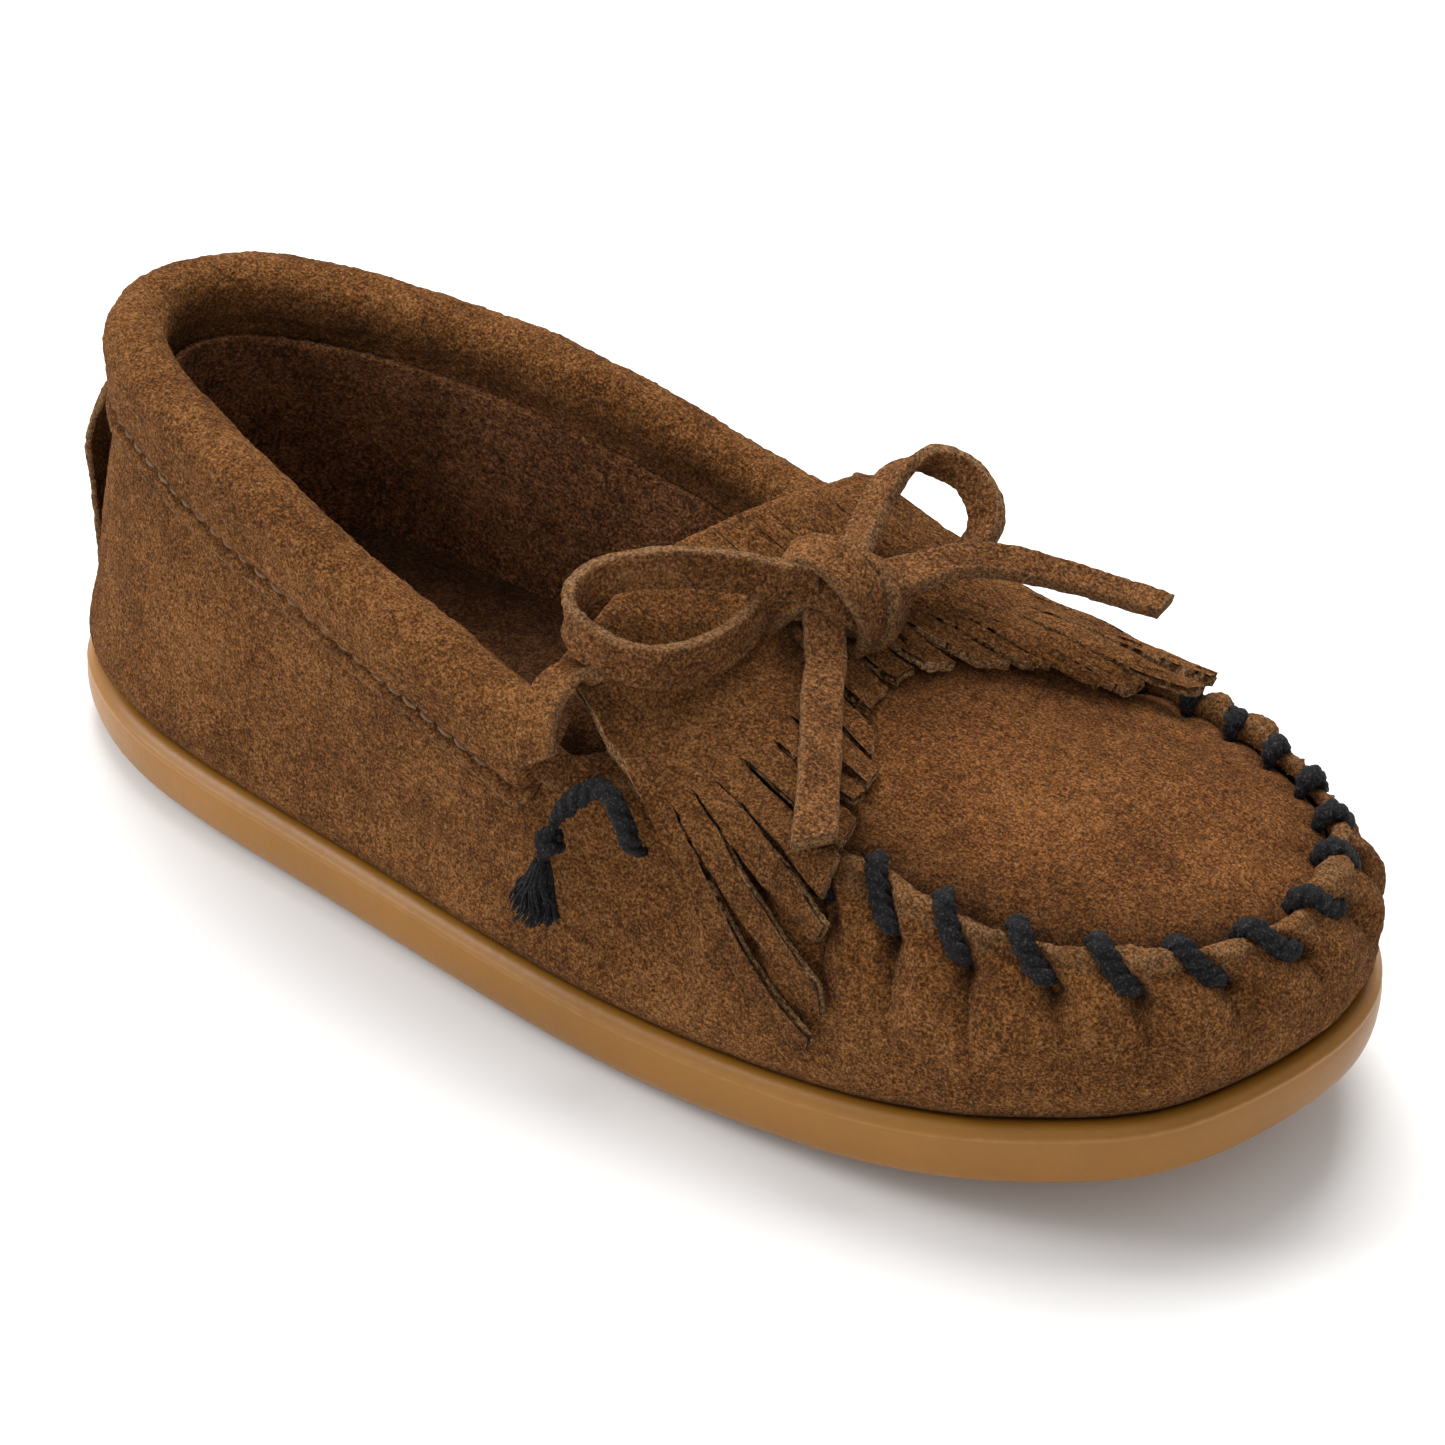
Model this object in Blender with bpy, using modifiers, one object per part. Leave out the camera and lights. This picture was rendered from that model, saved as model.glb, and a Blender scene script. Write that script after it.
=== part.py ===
"""Suede moccasin with a gum-rubber sole, a stitched toe, a fringed kiltie and a tied thong lace.

Built in millimetres and scaled to metres when each mesh is made. +X points to the toe, +Z up.
-Y is the outer (lateral) side of this right shoe. z = 0 is the ground. While it is drawn, x = 0 is the back of the sole.
"""

import math

import bmesh
import bpy
import numpy as np
from mathutils import Matrix, Vector

MM = 0.001
for old in list(bpy.data.objects):
    bpy.data.objects.remove(old)

# ------------------------------------------------------------------ driving dimensions (mm)
LENGTH = 185.0          # outsole, heel to toe
NUB = 1.2               # tread nubs below the sole plate
SOLE_TOP = 10.0         # top of the sole's lip
SPRING = 11.1           # toe spring at the tip
SPRING_FROM = 105.0     # where the toe starts to lift
SUEDE = 1.6             # vamp thickness
CUFF_T = 1.3            # cuff leather thickness
BASE_IN = 2.4           # upper's base, in from the sole's edge
WALL_FROM = 13.0        # height where the side wall starts
EDGE_DROP = 6.5         # vamp's top edge below the cuff's ridge
CUFF_H = 12.0           # cuff height
CORD_R = 0.9            # waxed cord
STITCH_STEP_OUTER = 9.3
STITCH_STEP_INNER = 6.8
LACE_W, LACE_T = 4.7, 1.8
KNOT = (114.4, 0.0, 53.4)
WAIST_PAD = (77.0, -2.2)  # middle of the rest pad under the arch; the finished shoe is moved so that this is its origin

# Last table. Sole outline, heel centre first, down the outer side, round the toe, back up the inner side.
SOLE = [(0, 0), (3, -13.1), (12, -22), (30, -28.7), (60, -31.9), (95, -35.2), (125, -35.1), (150, -32.1), (168, -25.1), (179, -15.5),
        (185, 4.5), (179.5, 21), (168.5, 30.5), (150, 35.8), (125, 35.8), (95, 31.5), (60, 27.5), (30, 26.5), (12, 21.5), (3, 13)]
# Ridge of the opening: outer side, then inner side, from the heel forward.
RIDGE_OUT = [(7.8, 0, 58.4), (11.6, -8.6, 58.1), (21.5, -14.6, 57.2), (36, -19.8, 55.8), (60, -25.6, 52.6), (95, -28.6, 44.7)]
RIDGE_IN = [(7.8, 0, 58.4), (11.6, 8.8, 58.2), (21.5, 15.2, 57.3), (36, 20.4, 55.6), (60, 25.2, 52.0), (95, 27.6, 44.2)]
# Toe seam between those two.
SEAM = [(122, -24.5, 38.7), (147, -23.9, 37.3), (163.5, -19.6, 36.4), (173.5, -11.6, 35.8), (178.7, 3, 35.5),
        (174, 17.8, 35.8), (164, 24.7, 36.4), (147, 27.8, 37.3), (122, 26.6, 38.7)]
# Crown of the plug above the seam, by x.
CROWN_X = [96, 102, 108, 114, 121, 130, 140, 150, 160, 170, 179]
CROWN_Z = [14.5, 12.0, 9.2, 6.8, 4.9, 4.3, 4.2, 4.2, 3.6, 2.2, 0.0]

# ------------------------------------------------------------------ curves


def closed_spline(rows):
    """Smooth closed curve through rows; its parameter is the row number."""
    p = np.array(rows, float)
    n = len(p)
    a = np.eye(n) * 4 + np.roll(np.eye(n), 1, 1) + np.roll(np.eye(n), -1, 1)
    m = np.linalg.solve(a, 6 * (np.roll(p, -1, 0) - 2 * p + np.roll(p, 1, 0)))

    def at(t):
        t = np.atleast_1d(np.asarray(t, float)) % n
        i = np.floor(t).astype(int) % n
        j = (i + 1) % n
        u = (t - np.floor(t))[:, None]
        v = 1 - u
        return v * p[i] + u * p[j] + ((v**3 - v) * m[i] + (u**3 - u) * m[j]) / 6

    return at


def open_spline(rows, count=None):
    """Smooth open curve through rows; its parameter is the row number. With count, that many even samples."""
    p = np.array(rows, float)
    n = len(p)
    a = np.eye(n) * 4 + np.eye(n, k=1) + np.eye(n, k=-1)
    a[0, :2] = (1, 0)
    a[-1, -2:] = (0, 1)
    b = np.zeros_like(p)
    b[1:-1] = 6 * (p[2:] - 2 * p[1:-1] + p[:-2])
    m = np.linalg.solve(a, b)

    def at(s):
        s = np.atleast_1d(np.asarray(s, float))
        i = np.clip(np.floor(s).astype(int), 0, n - 2)
        u = (s - i)[:, None]
        v = 1 - u
        return v * p[i] + u * p[i + 1] + ((v**3 - v) * m[i] + (u**3 - u) * m[i + 1]) / 6

    return at if count is None else at(np.linspace(0, n - 1, count))


def upper_rows():
    rows = []
    for k, (x, y, z) in enumerate(RIDGE_OUT):
        rows.append((x - (0.8 if k == 0 else 0.3), y - (0 if k == 0 else 0.8), z - EDGE_DROP))
    rows += SEAM
    for x, y, z in RIDGE_IN[:0:-1]:
        rows.append((x - 0.3, y + 0.8, z - EDGE_DROP))
    return rows


sole = closed_spline(SOLE)
edge = closed_spline(upper_rows())            # vamp's top edge, outer face
_ridge = open_spline(RIDGE_IN[:0:-1] + RIDGE_OUT)
HALF = 10                                     # row number of the toe


def ridge(t):
    """Ridge of the cuff, t from -5 (inner front) over 0 (heel) to 5 (outer front)."""
    return _ridge(np.asarray(t, float) + 5)


def spring(x):
    return SPRING * np.clip((np.asarray(x, float) - SPRING_FROM) / (LENGTH - SPRING_FROM), 0, 1.1) ** 2


def outward(curve, t, e=1e-3):
    t = np.atleast_1d(np.asarray(t, float))
    g = curve(t + e)[:, :2] - curve(t - e)[:, :2]
    g /= np.linalg.norm(g, axis=1)[:, None]
    return np.c_[g[:, 1], -g[:, 0]]


# ------------------------------------------------------------------ surfaces


def wall(t, u, off=0.0):
    """Side wall of the upper, outer face. u: 0 at the base, 1 at the top edge. off pushes outward."""
    t = np.atleast_1d(np.asarray(t, float))
    u = np.broadcast_to(np.asarray(u, float), t.shape)
    ns, nv = outward(sole, t), outward(edge, t)
    base = sole(t) - ns * BASE_IN
    top = edge(t)
    zb = WALL_FROM + spring(base[:, 0])
    front = np.clip((top[:, 0] - 95) / 45, 0, 1)
    lean = np.clip(u, 0, None) ** (1.3 + 0.5 * front)
    k = np.clip(u, 0, 1)[:, None]
    n = ns * (1 - k) + nv * k
    n /= np.linalg.norm(n, axis=1)[:, None]
    xy = base + (top[:, :2] - base) * lean[:, None] + n * ((1 + front) * np.sin(np.pi * np.clip(u, 0, 1)))[:, None] + n * off
    return np.c_[xy, zb + (top[:, 2] - zb) * u]


def wall_at(t, z, off=0.0):
    """Side wall at height z."""
    t = np.atleast_1d(np.asarray(t, float))
    base = sole(t) - outward(sole, t) * BASE_IN
    zb = WALL_FROM + spring(base[:, 0])
    return wall(t, (np.asarray(z) - zb) / (edge(t)[:, 2] - zb), off)


def plug_at(t, w, drop=0.0, inset=0.0):
    """Top face of the plug. t from 5 (instep) to 10 (toe); w from -1 (outer) to 1 (inner)."""
    t = np.atleast_1d(np.asarray(t, float))
    w = np.broadcast_to(np.asarray(w, float), t.shape)
    a, b = edge(t), edge(2 * HALF - t)
    a[:, :2] -= outward(edge, t) * inset
    b[:, :2] -= outward(edge, 2 * HALF - t) * inset
    mid = (a + b) / 2
    p = mid + (b - a) / 2 * w[:, None]
    p[:, 2] += np.interp(mid[:, 0], CROWN_X, CROWN_Z) * (1 - np.abs(w) ** 2.2) - drop
    return p


_tt = np.linspace(5.0, 9.9, 500)
_near, _far = edge(_tt), edge(2 * HALF - _tt)


def drape(x, y):
    """Height of the kiltie's middle face where it lies on the plug and hangs over the seam."""
    yn, yf = np.interp(x, _near[:, 0], _near[:, 1]), np.interp(x, _far[:, 0], _far[:, 1])
    zn, zf = np.interp(x, _near[:, 0], _near[:, 2]), np.interp(x, _far[:, 0], _far[:, 2])
    w = (2 * y - yn - yf) / (yf - yn)
    inside = (zn + zf) / 2 + np.interp(x, CROWN_X, CROWN_Z) * (1 - min(abs(w), 1) ** 2.2) + 3.2
    d = max(yn - y, y - yf, 0)
    return inside + float(np.interp(d, [0, 2, 4, 6, 8, 9.5, 10.6], [0, -0.5, -2.2, -5.6, -10.2, -15.5, -20.5]))


# ------------------------------------------------------------------ mesh helpers

parts = bpy.data.collections.new("moccasin")
cutters = bpy.data.collections.new("cutters")
for c in (parts, cutters):
    bpy.context.scene.collection.children.link(c)


def finish(name, color, rough, metallic=0.0):
    m = bpy.data.materials.get(name) or bpy.data.materials.new(name)
    m.use_nodes = True
    b = m.node_tree.nodes["Principled BSDF"]
    b.inputs["Base Color"].default_value = (*color, 1)
    b.inputs["Roughness"].default_value = rough
    b.inputs["Metallic"].default_value = metallic
    m.diffuse_color = (*color, 1)
    return m


SUEDE_M = finish("suede", (0.20, 0.085, 0.035), 0.95)
SUEDE_RED = finish("suede_plug", (0.21, 0.080, 0.032), 0.95)
THONG = finish("thong", (0.22, 0.105, 0.050), 0.95)
GUM = finish("gum_rubber", (0.36, 0.17, 0.05), 0.45)
WAX = finish("waxed_cord", (0.018, 0.018, 0.022), 0.6)
BOARD = finish("fibre_board", (0.30, 0.20, 0.12), 0.9)
LINING = finish("lining", (0.17, 0.080, 0.040), 0.9)


def build(name, verts, faces, material, collection=parts, origin=(0, 0, 0)):
    """Mesh object from millimetre points; its origin sits at origin."""
    o = np.array(origin, float)
    mesh = bpy.data.meshes.new(name)
    mesh.from_pydata([tuple((np.array(v) - o) * MM) for v in verts], [], [tuple(f) for f in faces])
    bm = bmesh.new()
    bm.from_mesh(mesh)
    bmesh.ops.remove_doubles(bm, verts=bm.verts, dist=1e-6)
    bmesh.ops.dissolve_degenerate(bm, dist=1e-7, edges=bm.edges)
    bmesh.ops.recalc_face_normals(bm, faces=bm.faces)
    bm.to_mesh(mesh)
    bm.free()
    mesh.shade_smooth()
    mesh.set_sharp_from_angle(angle=math.radians(50))
    obj = bpy.data.objects.new(name, mesh)
    obj.location = Vector(o * MM)
    if material:
        mesh.materials.append(material)
    collection.objects.link(obj)
    return obj


def loft(sections, ring=True, caps=True):
    """Verts and faces of a loft through sections (k, m, 3). ring closes each section; caps fill the ends."""
    s = np.array(sections, float)
    k, m = s.shape[:2]
    verts = s.reshape(-1, 3)
    faces = []
    for i in range(k - 1):
        for j in range(m if ring else m - 1):
            a, b = i * m + j, i * m + (j + 1) % m
            faces.append((a, b, b + m, a + m))
    if ring and caps:
        faces.append(tuple(range(m))[::-1])
        faces.append(tuple((k - 1) * m + j for j in range(m)))
    return verts, faces


def shell(obj, thickness, offset):
    """Solidify. offset -1 grows inward from the drawn face, 0 both ways."""
    mod = obj.modifiers.new("shell", "SOLIDIFY")
    mod.thickness = thickness * MM
    mod.offset = offset
    mod.use_even_offset = True
    return obj


def face_out(obj, up_at):
    """Turns an open surface so that its face nearest up_at (point, direction, mm) looks along direction."""
    point, direction = Vector(np.array(up_at[0], float) * MM) - obj.location, Vector(up_at[1])
    best = min(obj.data.polygons, key=lambda f: (f.center - point).length)
    if best.normal.dot(direction) < 0:
        obj.data.flip_normals()
    return obj


def frames(path, hint):
    """Tangent, side and up vectors along a path. hint is an up vector, or one for each point."""
    p = np.array(path, float)
    t = np.gradient(p, axis=0)
    t /= np.linalg.norm(t, axis=1)[:, None]
    h = np.broadcast_to(np.array(hint, float), p.shape)
    side = np.cross(t, h)
    side /= np.linalg.norm(side, axis=1)[:, None]
    return t, side, np.cross(side, t)


def strap(name, path, hint, width, thick, material, origin=(0, 0, 0)):
    """Flat thong along path, its face towards hint."""
    p = np.array(path, float)
    _, side, up = frames(p, hint)
    w, h, c = width / 2, thick / 2, min(thick, width) * 0.18
    outline = [(-w, -h + c), (-w, h - c), (-w + c, h), (w - c, h), (w, h - c), (w, -h + c), (w - c, -h), (-w + c, -h)]
    sections = [[p[i] + side[i] * a + up[i] * b for a, b in outline] for i in range(len(p))]
    return build(name, *loft(sections), material, origin=origin)


def cord(name, path, radius, material, resolution=1, origin=(0, 0, 0)):
    """Round cord along path: a poly curve with a bevel, its own radius at each point, and filled ends."""
    p = np.array(path, float)
    radii = np.broadcast_to(np.asarray(radius, float), (len(p),))
    curve = bpy.data.curves.new(name, "CURVE")
    curve.dimensions = "3D"
    curve.bevel_depth = MM
    curve.bevel_resolution = resolution
    curve.use_fill_caps = True
    curve.resolution_u = 1
    curve.render_resolution_u = 0
    line = curve.splines.new("POLY")
    line.points.add(len(p) - 1)
    for point, place, r in zip(line.points, p, radii):
        point.co = (*((place - np.array(origin, float)) * MM), 1.0)
        point.radius = float(r)
    line.use_smooth = True
    curve.materials.append(material)
    obj = bpy.data.objects.new(name, curve)
    obj.location = Vector(np.array(origin, float) * MM)
    parts.objects.link(obj)
    return obj


# ------------------------------------------------------------------ sole plates


def plate(name, rim, count, across, material):
    """Plate on the sole outline. rim: (inset, height) pairs from the bottom edge round to the top edge."""
    sections = []
    for t in np.linspace(0, HALF, count):
        line = []
        for side in (t, 2 * HALF - t):
            n = outward(sole, side)[0]
            p = sole(side)[0]
            pts = [(p[0] - n[0] * i, p[1] - n[1] * i, h + float(spring(p[0] - n[0] * i))) for i, h in rim]
            line.append(pts)
        near, far = line
        section = list(near)
        for k in range(1, across):
            a, b = np.array(near[-1]), np.array(far[-1])
            q = a + (b - a) * k / across
            q[2] = rim[-1][1] + float(spring(q[0]))
            section.append(tuple(q))
        section += far[::-1]
        for k in range(1, across):
            a, b = np.array(far[0]), np.array(near[0])
            q = a + (b - a) * k / across
            q[2] = rim[0][1] + float(spring(q[0]))
            section.append(tuple(q))
        sections.append(section)
    return build(name, *loft(sections, ring=True, caps=False), material)


def union(obj, cutter, operation="UNION"):
    cutter.hide_render = True
    cutter.display_type = "WIRE"
    mod = obj.modifiers.new("join", "BOOLEAN")
    mod.operation = operation
    mod.object = cutter
    mod.solver = "EXACT"


OUTSOLE_RIM = [(3.2, NUB), (1.3, NUB + 0.6), (0.35, 3.3), (0, 5.4), (0.15, 7.3), (0.5, 8.8), (1.2, 9.7), (2.1, SOLE_TOP), (2.9, 9.7)]
outsole = plate("outsole", OUTSOLE_RIM, 27, 3, GUM)


def tread():
    """Nubs under the ball and the heel, and the flat waist pad between them, level with the nubs' ends."""
    bm = bmesh.new()

    def column(x, y, radius, squash, sides):
        place = Matrix.Translation(Vector((x, y, float(spring(x)) + (NUB + 1.0) / 2)) * MM)
        bmesh.ops.create_cone(bm, cap_ends=True, segments=sides, radius1=radius * MM, radius2=radius * MM, depth=(NUB + 1.0) * MM,
                              matrix=place @ Matrix.Diagonal((1, squash, 1, 1)))

    rim = sole(np.linspace(0, HALF, 200)), sole(np.linspace(2 * HALF, HALF, 200))

    def inside(x, y, margin):
        lo, hi = (np.interp(x, side[:, 0], side[:, 1]) for side in rim)
        return lo + margin < y < hi - margin

    for x0, x1 in ((12, 50), (104, 172)):
        for row, x in enumerate(np.arange(x0, x1, 9.5)):
            for y in np.arange(-27.0 if row % 2 else -32.0, 36, 10.0):
                if inside(x, y, 7.5):
                    column(x, y, 1.8, 1.0, 6)
    column(*WAIST_PAD, 14, 16 / 14, 16)
    mesh = bpy.data.meshes.new("tread_tool")
    bm.to_mesh(mesh)
    bm.free()
    obj = bpy.data.objects.new("tread_tool", mesh)
    cutters.objects.link(obj)
    return obj


union(outsole, tread())

BOARD_RIM = [(6.0, 12.05), (6.0, 13.3)]
LINER_RIM = [(7.2, 13.65), (7.0, 15.8), (7.6, 16.3)]
plate("insole_board", BOARD_RIM, 17, 2, BOARD)
plate("sock_liner", LINER_RIM, 17, 2, LINING)

# ------------------------------------------------------------------ vamp: one piece under the foot and up both sides


def vamp_surface():
    corner = [(6.2, 10.05), (4.2, 10.3), (3.1, 11.2)]
    levels = [0.0, 0.22, 0.45, 0.66, 0.84, 1.0]
    sections = []
    for t in np.linspace(0, HALF, 29):
        half = []
        for side in (t, 2 * HALF - t):
            n = outward(sole, side)[0]
            p = sole(side)[0]
            low = [(p[0] - n[0] * i, p[1] - n[1] * i, h + float(spring(p[0] - n[0] * i))) for i, h in corner]
            up = [tuple(wall([side], u)[0]) for u in levels]
            half.append(low + up)
        near, far = half
        section = list(near[::-1])
        for k in range(1, 2):
            q = np.array(near[0]) + (np.array(far[0]) - np.array(near[0])) * k / 2
            q[2] = 10.05 + float(spring(q[0]))
            section.append(tuple(q))
        section += far
        sections.append(section)
    return loft(sections, ring=False)


vamp = build("vamp", *vamp_surface(), SUEDE_M)
face_out(vamp, ((60, -31, 30), (0, -1, 0)))
shell(vamp, SUEDE, -1)

# ------------------------------------------------------------------ heel counter and lining


def heel_sheet(name, reach, off, thick, z0, gap, material):
    sections = []
    for t in np.linspace(-reach, reach, 17):
        top = ridge(t)[0][2] - gap
        zs = np.linspace(z0, top, 5)
        sections.append([tuple(wall_at([t], z, off)[0]) for z in zs])
    obj = build(name, *loft(sections, ring=False), material)
    face_out(obj, ((0, 0, 30), (-1, 0, 0)))
    shell(obj, thick, -1)
    return obj


heel_sheet("heel_counter", 2.6, -2.0, 1.0, 17.0, 12.8, BOARD)
heel_sheet("heel_lining", 3.0, -3.4, 0.9, 17.0, 12.6, LINING)

# ------------------------------------------------------------------ collar cuff, folded over the vamp's top edge

CUFF_LINE = [(-12, 1.05), (-7.2, 1.15), (-5, 2.0), (-3, 2.35), (-1.3, 1.5), (-0.65, -0.8),
             (-1.3, -3.1), (-3, -3.95), (-5, -3.6), (-7.2, -2.8), (-11, -2.7)]


def collar_frame(t, h, off):
    """Point of the folded edge: h below the ridge, off outward of the vamp's outer face."""
    r = ridge(t)[0]
    if h <= -EDGE_DROP:
        return wall_at([t], r[2] + h, off)[0]
    k = (h + EDGE_DROP) / EDGE_DROP
    n = outward(edge, t)[0]
    low = edge(t)[0]
    top = np.array([r[0] + 0.8 * n[0], r[1] + 0.8 * n[1], r[2]])
    p = low * (1 - k) + top * k
    return np.array([p[0] + n[0] * off, p[1] + n[1] * off, r[2] + h])


CUFF_END = 5.02
cuff_sections = [[tuple(collar_frame(t, h, o)) for h, o in CUFF_LINE] for t in np.linspace(-CUFF_END, CUFF_END, 29)]
cuff = build("collar_cuff", *loft(cuff_sections, ring=False), SUEDE_M)
face_out(cuff, ((60, -27, 45), (0, -1, 0)))
shell(cuff, CUFF_T, 0)

# the lace's hidden run in the cuff's fold
run = []
for t in np.linspace(-CUFF_END + 0.05, CUFF_END - 0.05, 27):
    run.append([tuple(collar_frame(t, h, o)) for h, o in ((-5.2, -1.5), (-2.4, -1.5), (-2.4, -0.1), (-5.2, -0.1))])
build("lace_collar_run", *loft(run), THONG)

# ------------------------------------------------------------------ heel strip, standing off in its upper half


def heel_strip():
    z1 = 58.4 - CUFF_H - 0.6
    sections = []
    for u in np.linspace(0, 1, 9):
        z = 11.4 + (z1 - 11.4) * u
        half_t = 0.62 + 0.12 * (1 - u)
        bulge = 0.45 + 2.7 * math.exp(-(((u - 0.72) / 0.20) ** 2)) + 0.9 * (1 - u) ** 2
        bulge = bulge if u < 0.98 else 0.45
        sections.append([tuple(wall_at([t], max(z, 13.0), bulge)[0][:2]) + (z,) for t in np.linspace(-half_t, half_t, 7)])
    return loft(sections, ring=False)


strip = build("heel_strip", *heel_strip(), SUEDE_M)
face_out(strip, ((0, 0, 25), (-1, 0, 0)))
shell(strip, 1.4, 1)

# ------------------------------------------------------------------ plug


def smooth(v):
    v = min(max(v, 0.0), 1.0)
    return v * v * (3 - 2 * v)


def plug_surface():
    sections = []
    for t in list(np.linspace(5.06, 8.9, 16)) + [9.3, 9.65, 10.0]:
        inset = 2.1 + 2.3 * smooth((5.5 - t) / 0.4)
        sections.append([tuple(plug_at([t], w, 0.2, inset)[0]) for w in (-1, -0.85, -0.55, -0.2, 0.2, 0.55, 0.85, 1)])
    return loft(sections, ring=False)


plug = build("plug", *plug_surface(), SUEDE_RED)
face_out(plug, ((140, 0, 42), (0, 0, 1)))
shell(plug, SUEDE, -1)

# ------------------------------------------------------------------ toe whip-stitches


def stitch_places():
    """Seam parameters at even steps of length along the seam, wider on the outer side and the toe."""
    ts = np.linspace(5.60, 14.42, 3000)
    pts = edge(ts)
    run_length = np.r_[0, np.cumsum(np.linalg.norm(np.diff(pts, axis=0), axis=1))]
    places, s = [], 0.0
    while s < run_length[-1]:
        t = float(np.interp(s, run_length, ts))
        places.append(t)
        s += STITCH_STEP_OUTER if t < HALF + 0.3 else STITCH_STEP_INNER
    return places


def along(t, distance):
    """Seam parameter a distance in mm further along."""
    a, b = edge(t - 0.05)[0], edge(t + 0.05)[0]
    return t + distance * 0.1 / float(np.linalg.norm(b - a))


def stitch_path(t):
    """Cord from the vamp's side, over the seam's edge, to the plug. Every stitch leans the same way round the seam."""
    lean = 0.93 if t < HALF + 0.3 else 0.55
    low = wall([along(t, 3.6 * lean)], 0.80, 1.72)[0]
    mid = wall([along(t, 1.5 * lean)], 0.93, 1.85)[0]
    over = along(t, -1.2 * lean)
    n, e = outward(edge, over)[0], edge(over)[0]
    top = np.array([e[0] - n[0] * 0.4, e[1] - n[1] * 0.4, e[2] + 1.45])
    end = along(t, -3.0 * lean)
    n, e = outward(edge, end)[0], edge(end)[0]
    crown = np.interp(e[0], CROWN_X, CROWN_Z) * 0.24
    inn = np.array([e[0] - n[0] * 2.9, e[1] - n[1] * 2.9, e[2] + 1.38 + crown])
    return open_spline([low, mid, top, inn], 6)


for number, place in enumerate(stitch_places(), 1):
    cord(f"toe_stitch_{number:02d}", stitch_path(place), CORD_R, WAX)

# ------------------------------------------------------------------ thread end: loop, knot and tassel
TASSEL_PIVOT = (100.3, -34.2, 34.2)
loop_path = open_spline([(103.6, -31.6, 35.6), (104.2, -31.3, 38.2), (102.2, -31.8, 38.4), (100.4, -33.0, 36.0)], 9)
cord("thread_loop", loop_path, CORD_R, WAX)
cord("thread_tassel", [(100.3, -34.2, 34.4), (100.2, -34.6, 33.6), (100.1, -34.9, 32.0), (99.9, -35.5, 30.2), (99.6, -36.4, 27.0), (99.3, -37.4, 23.4)],
     [1.2, 2.0, 2.1, 1.3, 1.7, 2.3], WAX, resolution=2, origin=TASSEL_PIVOT)

# ------------------------------------------------------------------ kiltie: fringed tongue
REAR = open_spline([(96.5, -26.0, 48.8), (95.3, -12.5, 54.2), (97.4, 0, 55.4), (100.4, 12.3, 54.8), (102, 25, 51.4)])
TIPS = open_spline([(138.1, -34.6), (139.6, -34.2), (138.0, -32.6), (136.5, -30.0), (135.3, -25.5), (134.3, -20.6), (131.5, -16.0),
                    (129.0, -11.5), (125.5, -7), (122.6, 0), (124.5, 4.5), (127.5, 9.5), (131.5, 13.8), (137, 16.5), (142.5, 18.5),
                    (147, 22.5), (150, 27.2), (149, 31.8), (146, 34.6)])
SPLIT_OUT, SPLIT_IN = -28.4, 28.9
KILTIE_T = 1.4


def rib(p, q):
    """Point of the kiltie: p from 0 (outer edge) to 1 (inner edge), q from 0 (rear) to 1 (tip)."""
    a = REAR(p * 4)[0]
    b = TIPS(p * 18)[0]
    xy = a[:2] + (b - a[:2]) * q
    bow = 2.2 * math.sin(math.pi * q)
    edge_pull = 1 - min(abs(p - 0.0), abs(1 - p)) / 0.5
    xy[1] += bow * (-1 if p < 0.5 else 1) * 0.5 * edge_pull
    z = drape(xy[0], xy[1])
    lift = a[2] - drape(a[0], a[1])
    return np.array([xy[0], xy[1], z + lift * (1 - smooth(q / 0.55))])


def rib_cross(p, y):
    """q where the rib passes y."""
    qs = np.linspace(0, 1, 200)
    ys = np.array([rib(p, q)[1] for q in qs])
    hit = np.nonzero(np.abs(ys) > abs(y))[0]
    return 1.0 if len(hit) == 0 else float(qs[hit[0]])


def comb(name, ribs, root, tip_q, gap, rows_base, rows_strip, material, origin=(0, 0, 0)):
    """Fringed sheet. ribs: the strips' edges. root(p) -> (first q, q where slits start); tip_q(p) -> last q."""
    columns = []
    for k in range(len(ribs) - 1):
        columns.append((ribs[k] + (gap / 2 if k else 0), True))
        columns.append((ribs[k + 1] - (gap / 2 if k < len(ribs) - 2 else 0), False))
    verts, index = [], {}
    for ci, (p, _) in enumerate(columns):
        q0, qs = root(p)
        q1 = tip_q(p)
        for r in range(rows_base + rows_strip + 1):
            q = q0 + (qs - q0) * r / rows_base if r <= rows_base else qs + (q1 - qs) * (r - rows_base) / rows_strip
            index[ci, r] = len(verts)
            verts.append(tuple(rib(p, q)))
    faces = []
    for ci in range(len(columns) - 1):
        for r in range(rows_base + rows_strip):
            if r < rows_base or columns[ci][1]:
                faces.append((index[ci, r], index[ci + 1, r], index[ci + 1, r + 1], index[ci, r + 1]))
    obj = build(name, verts, faces, material, origin=origin)
    mid = rib((ribs[0] + ribs[-1]) / 2, 0.2)
    face_out(obj, (mid, (0, math.copysign(0.2, mid[1]), 1)))
    shell(obj, KILTIE_T, 0)
    return obj


def slit_start(p):
    return 0.38 + 0.36 * (1 - abs(2 * p - 1)) ** 0.8


def centre_tip(p):
    lim = SPLIT_OUT + 0.3 if p < 0.5 else SPLIT_IN - 0.3
    return min(rib_cross(p, lim), 1.0)


def centre_root(p):
    tip = centre_tip(p)
    return 0.0, min(slit_start(p), tip * 0.8)


RIBS = [k / 18 for k in range(19)]
kiltie = comb("kiltie", RIBS, centre_root, centre_tip, 0.010, 4, 3, SUEDE_M)

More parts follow.
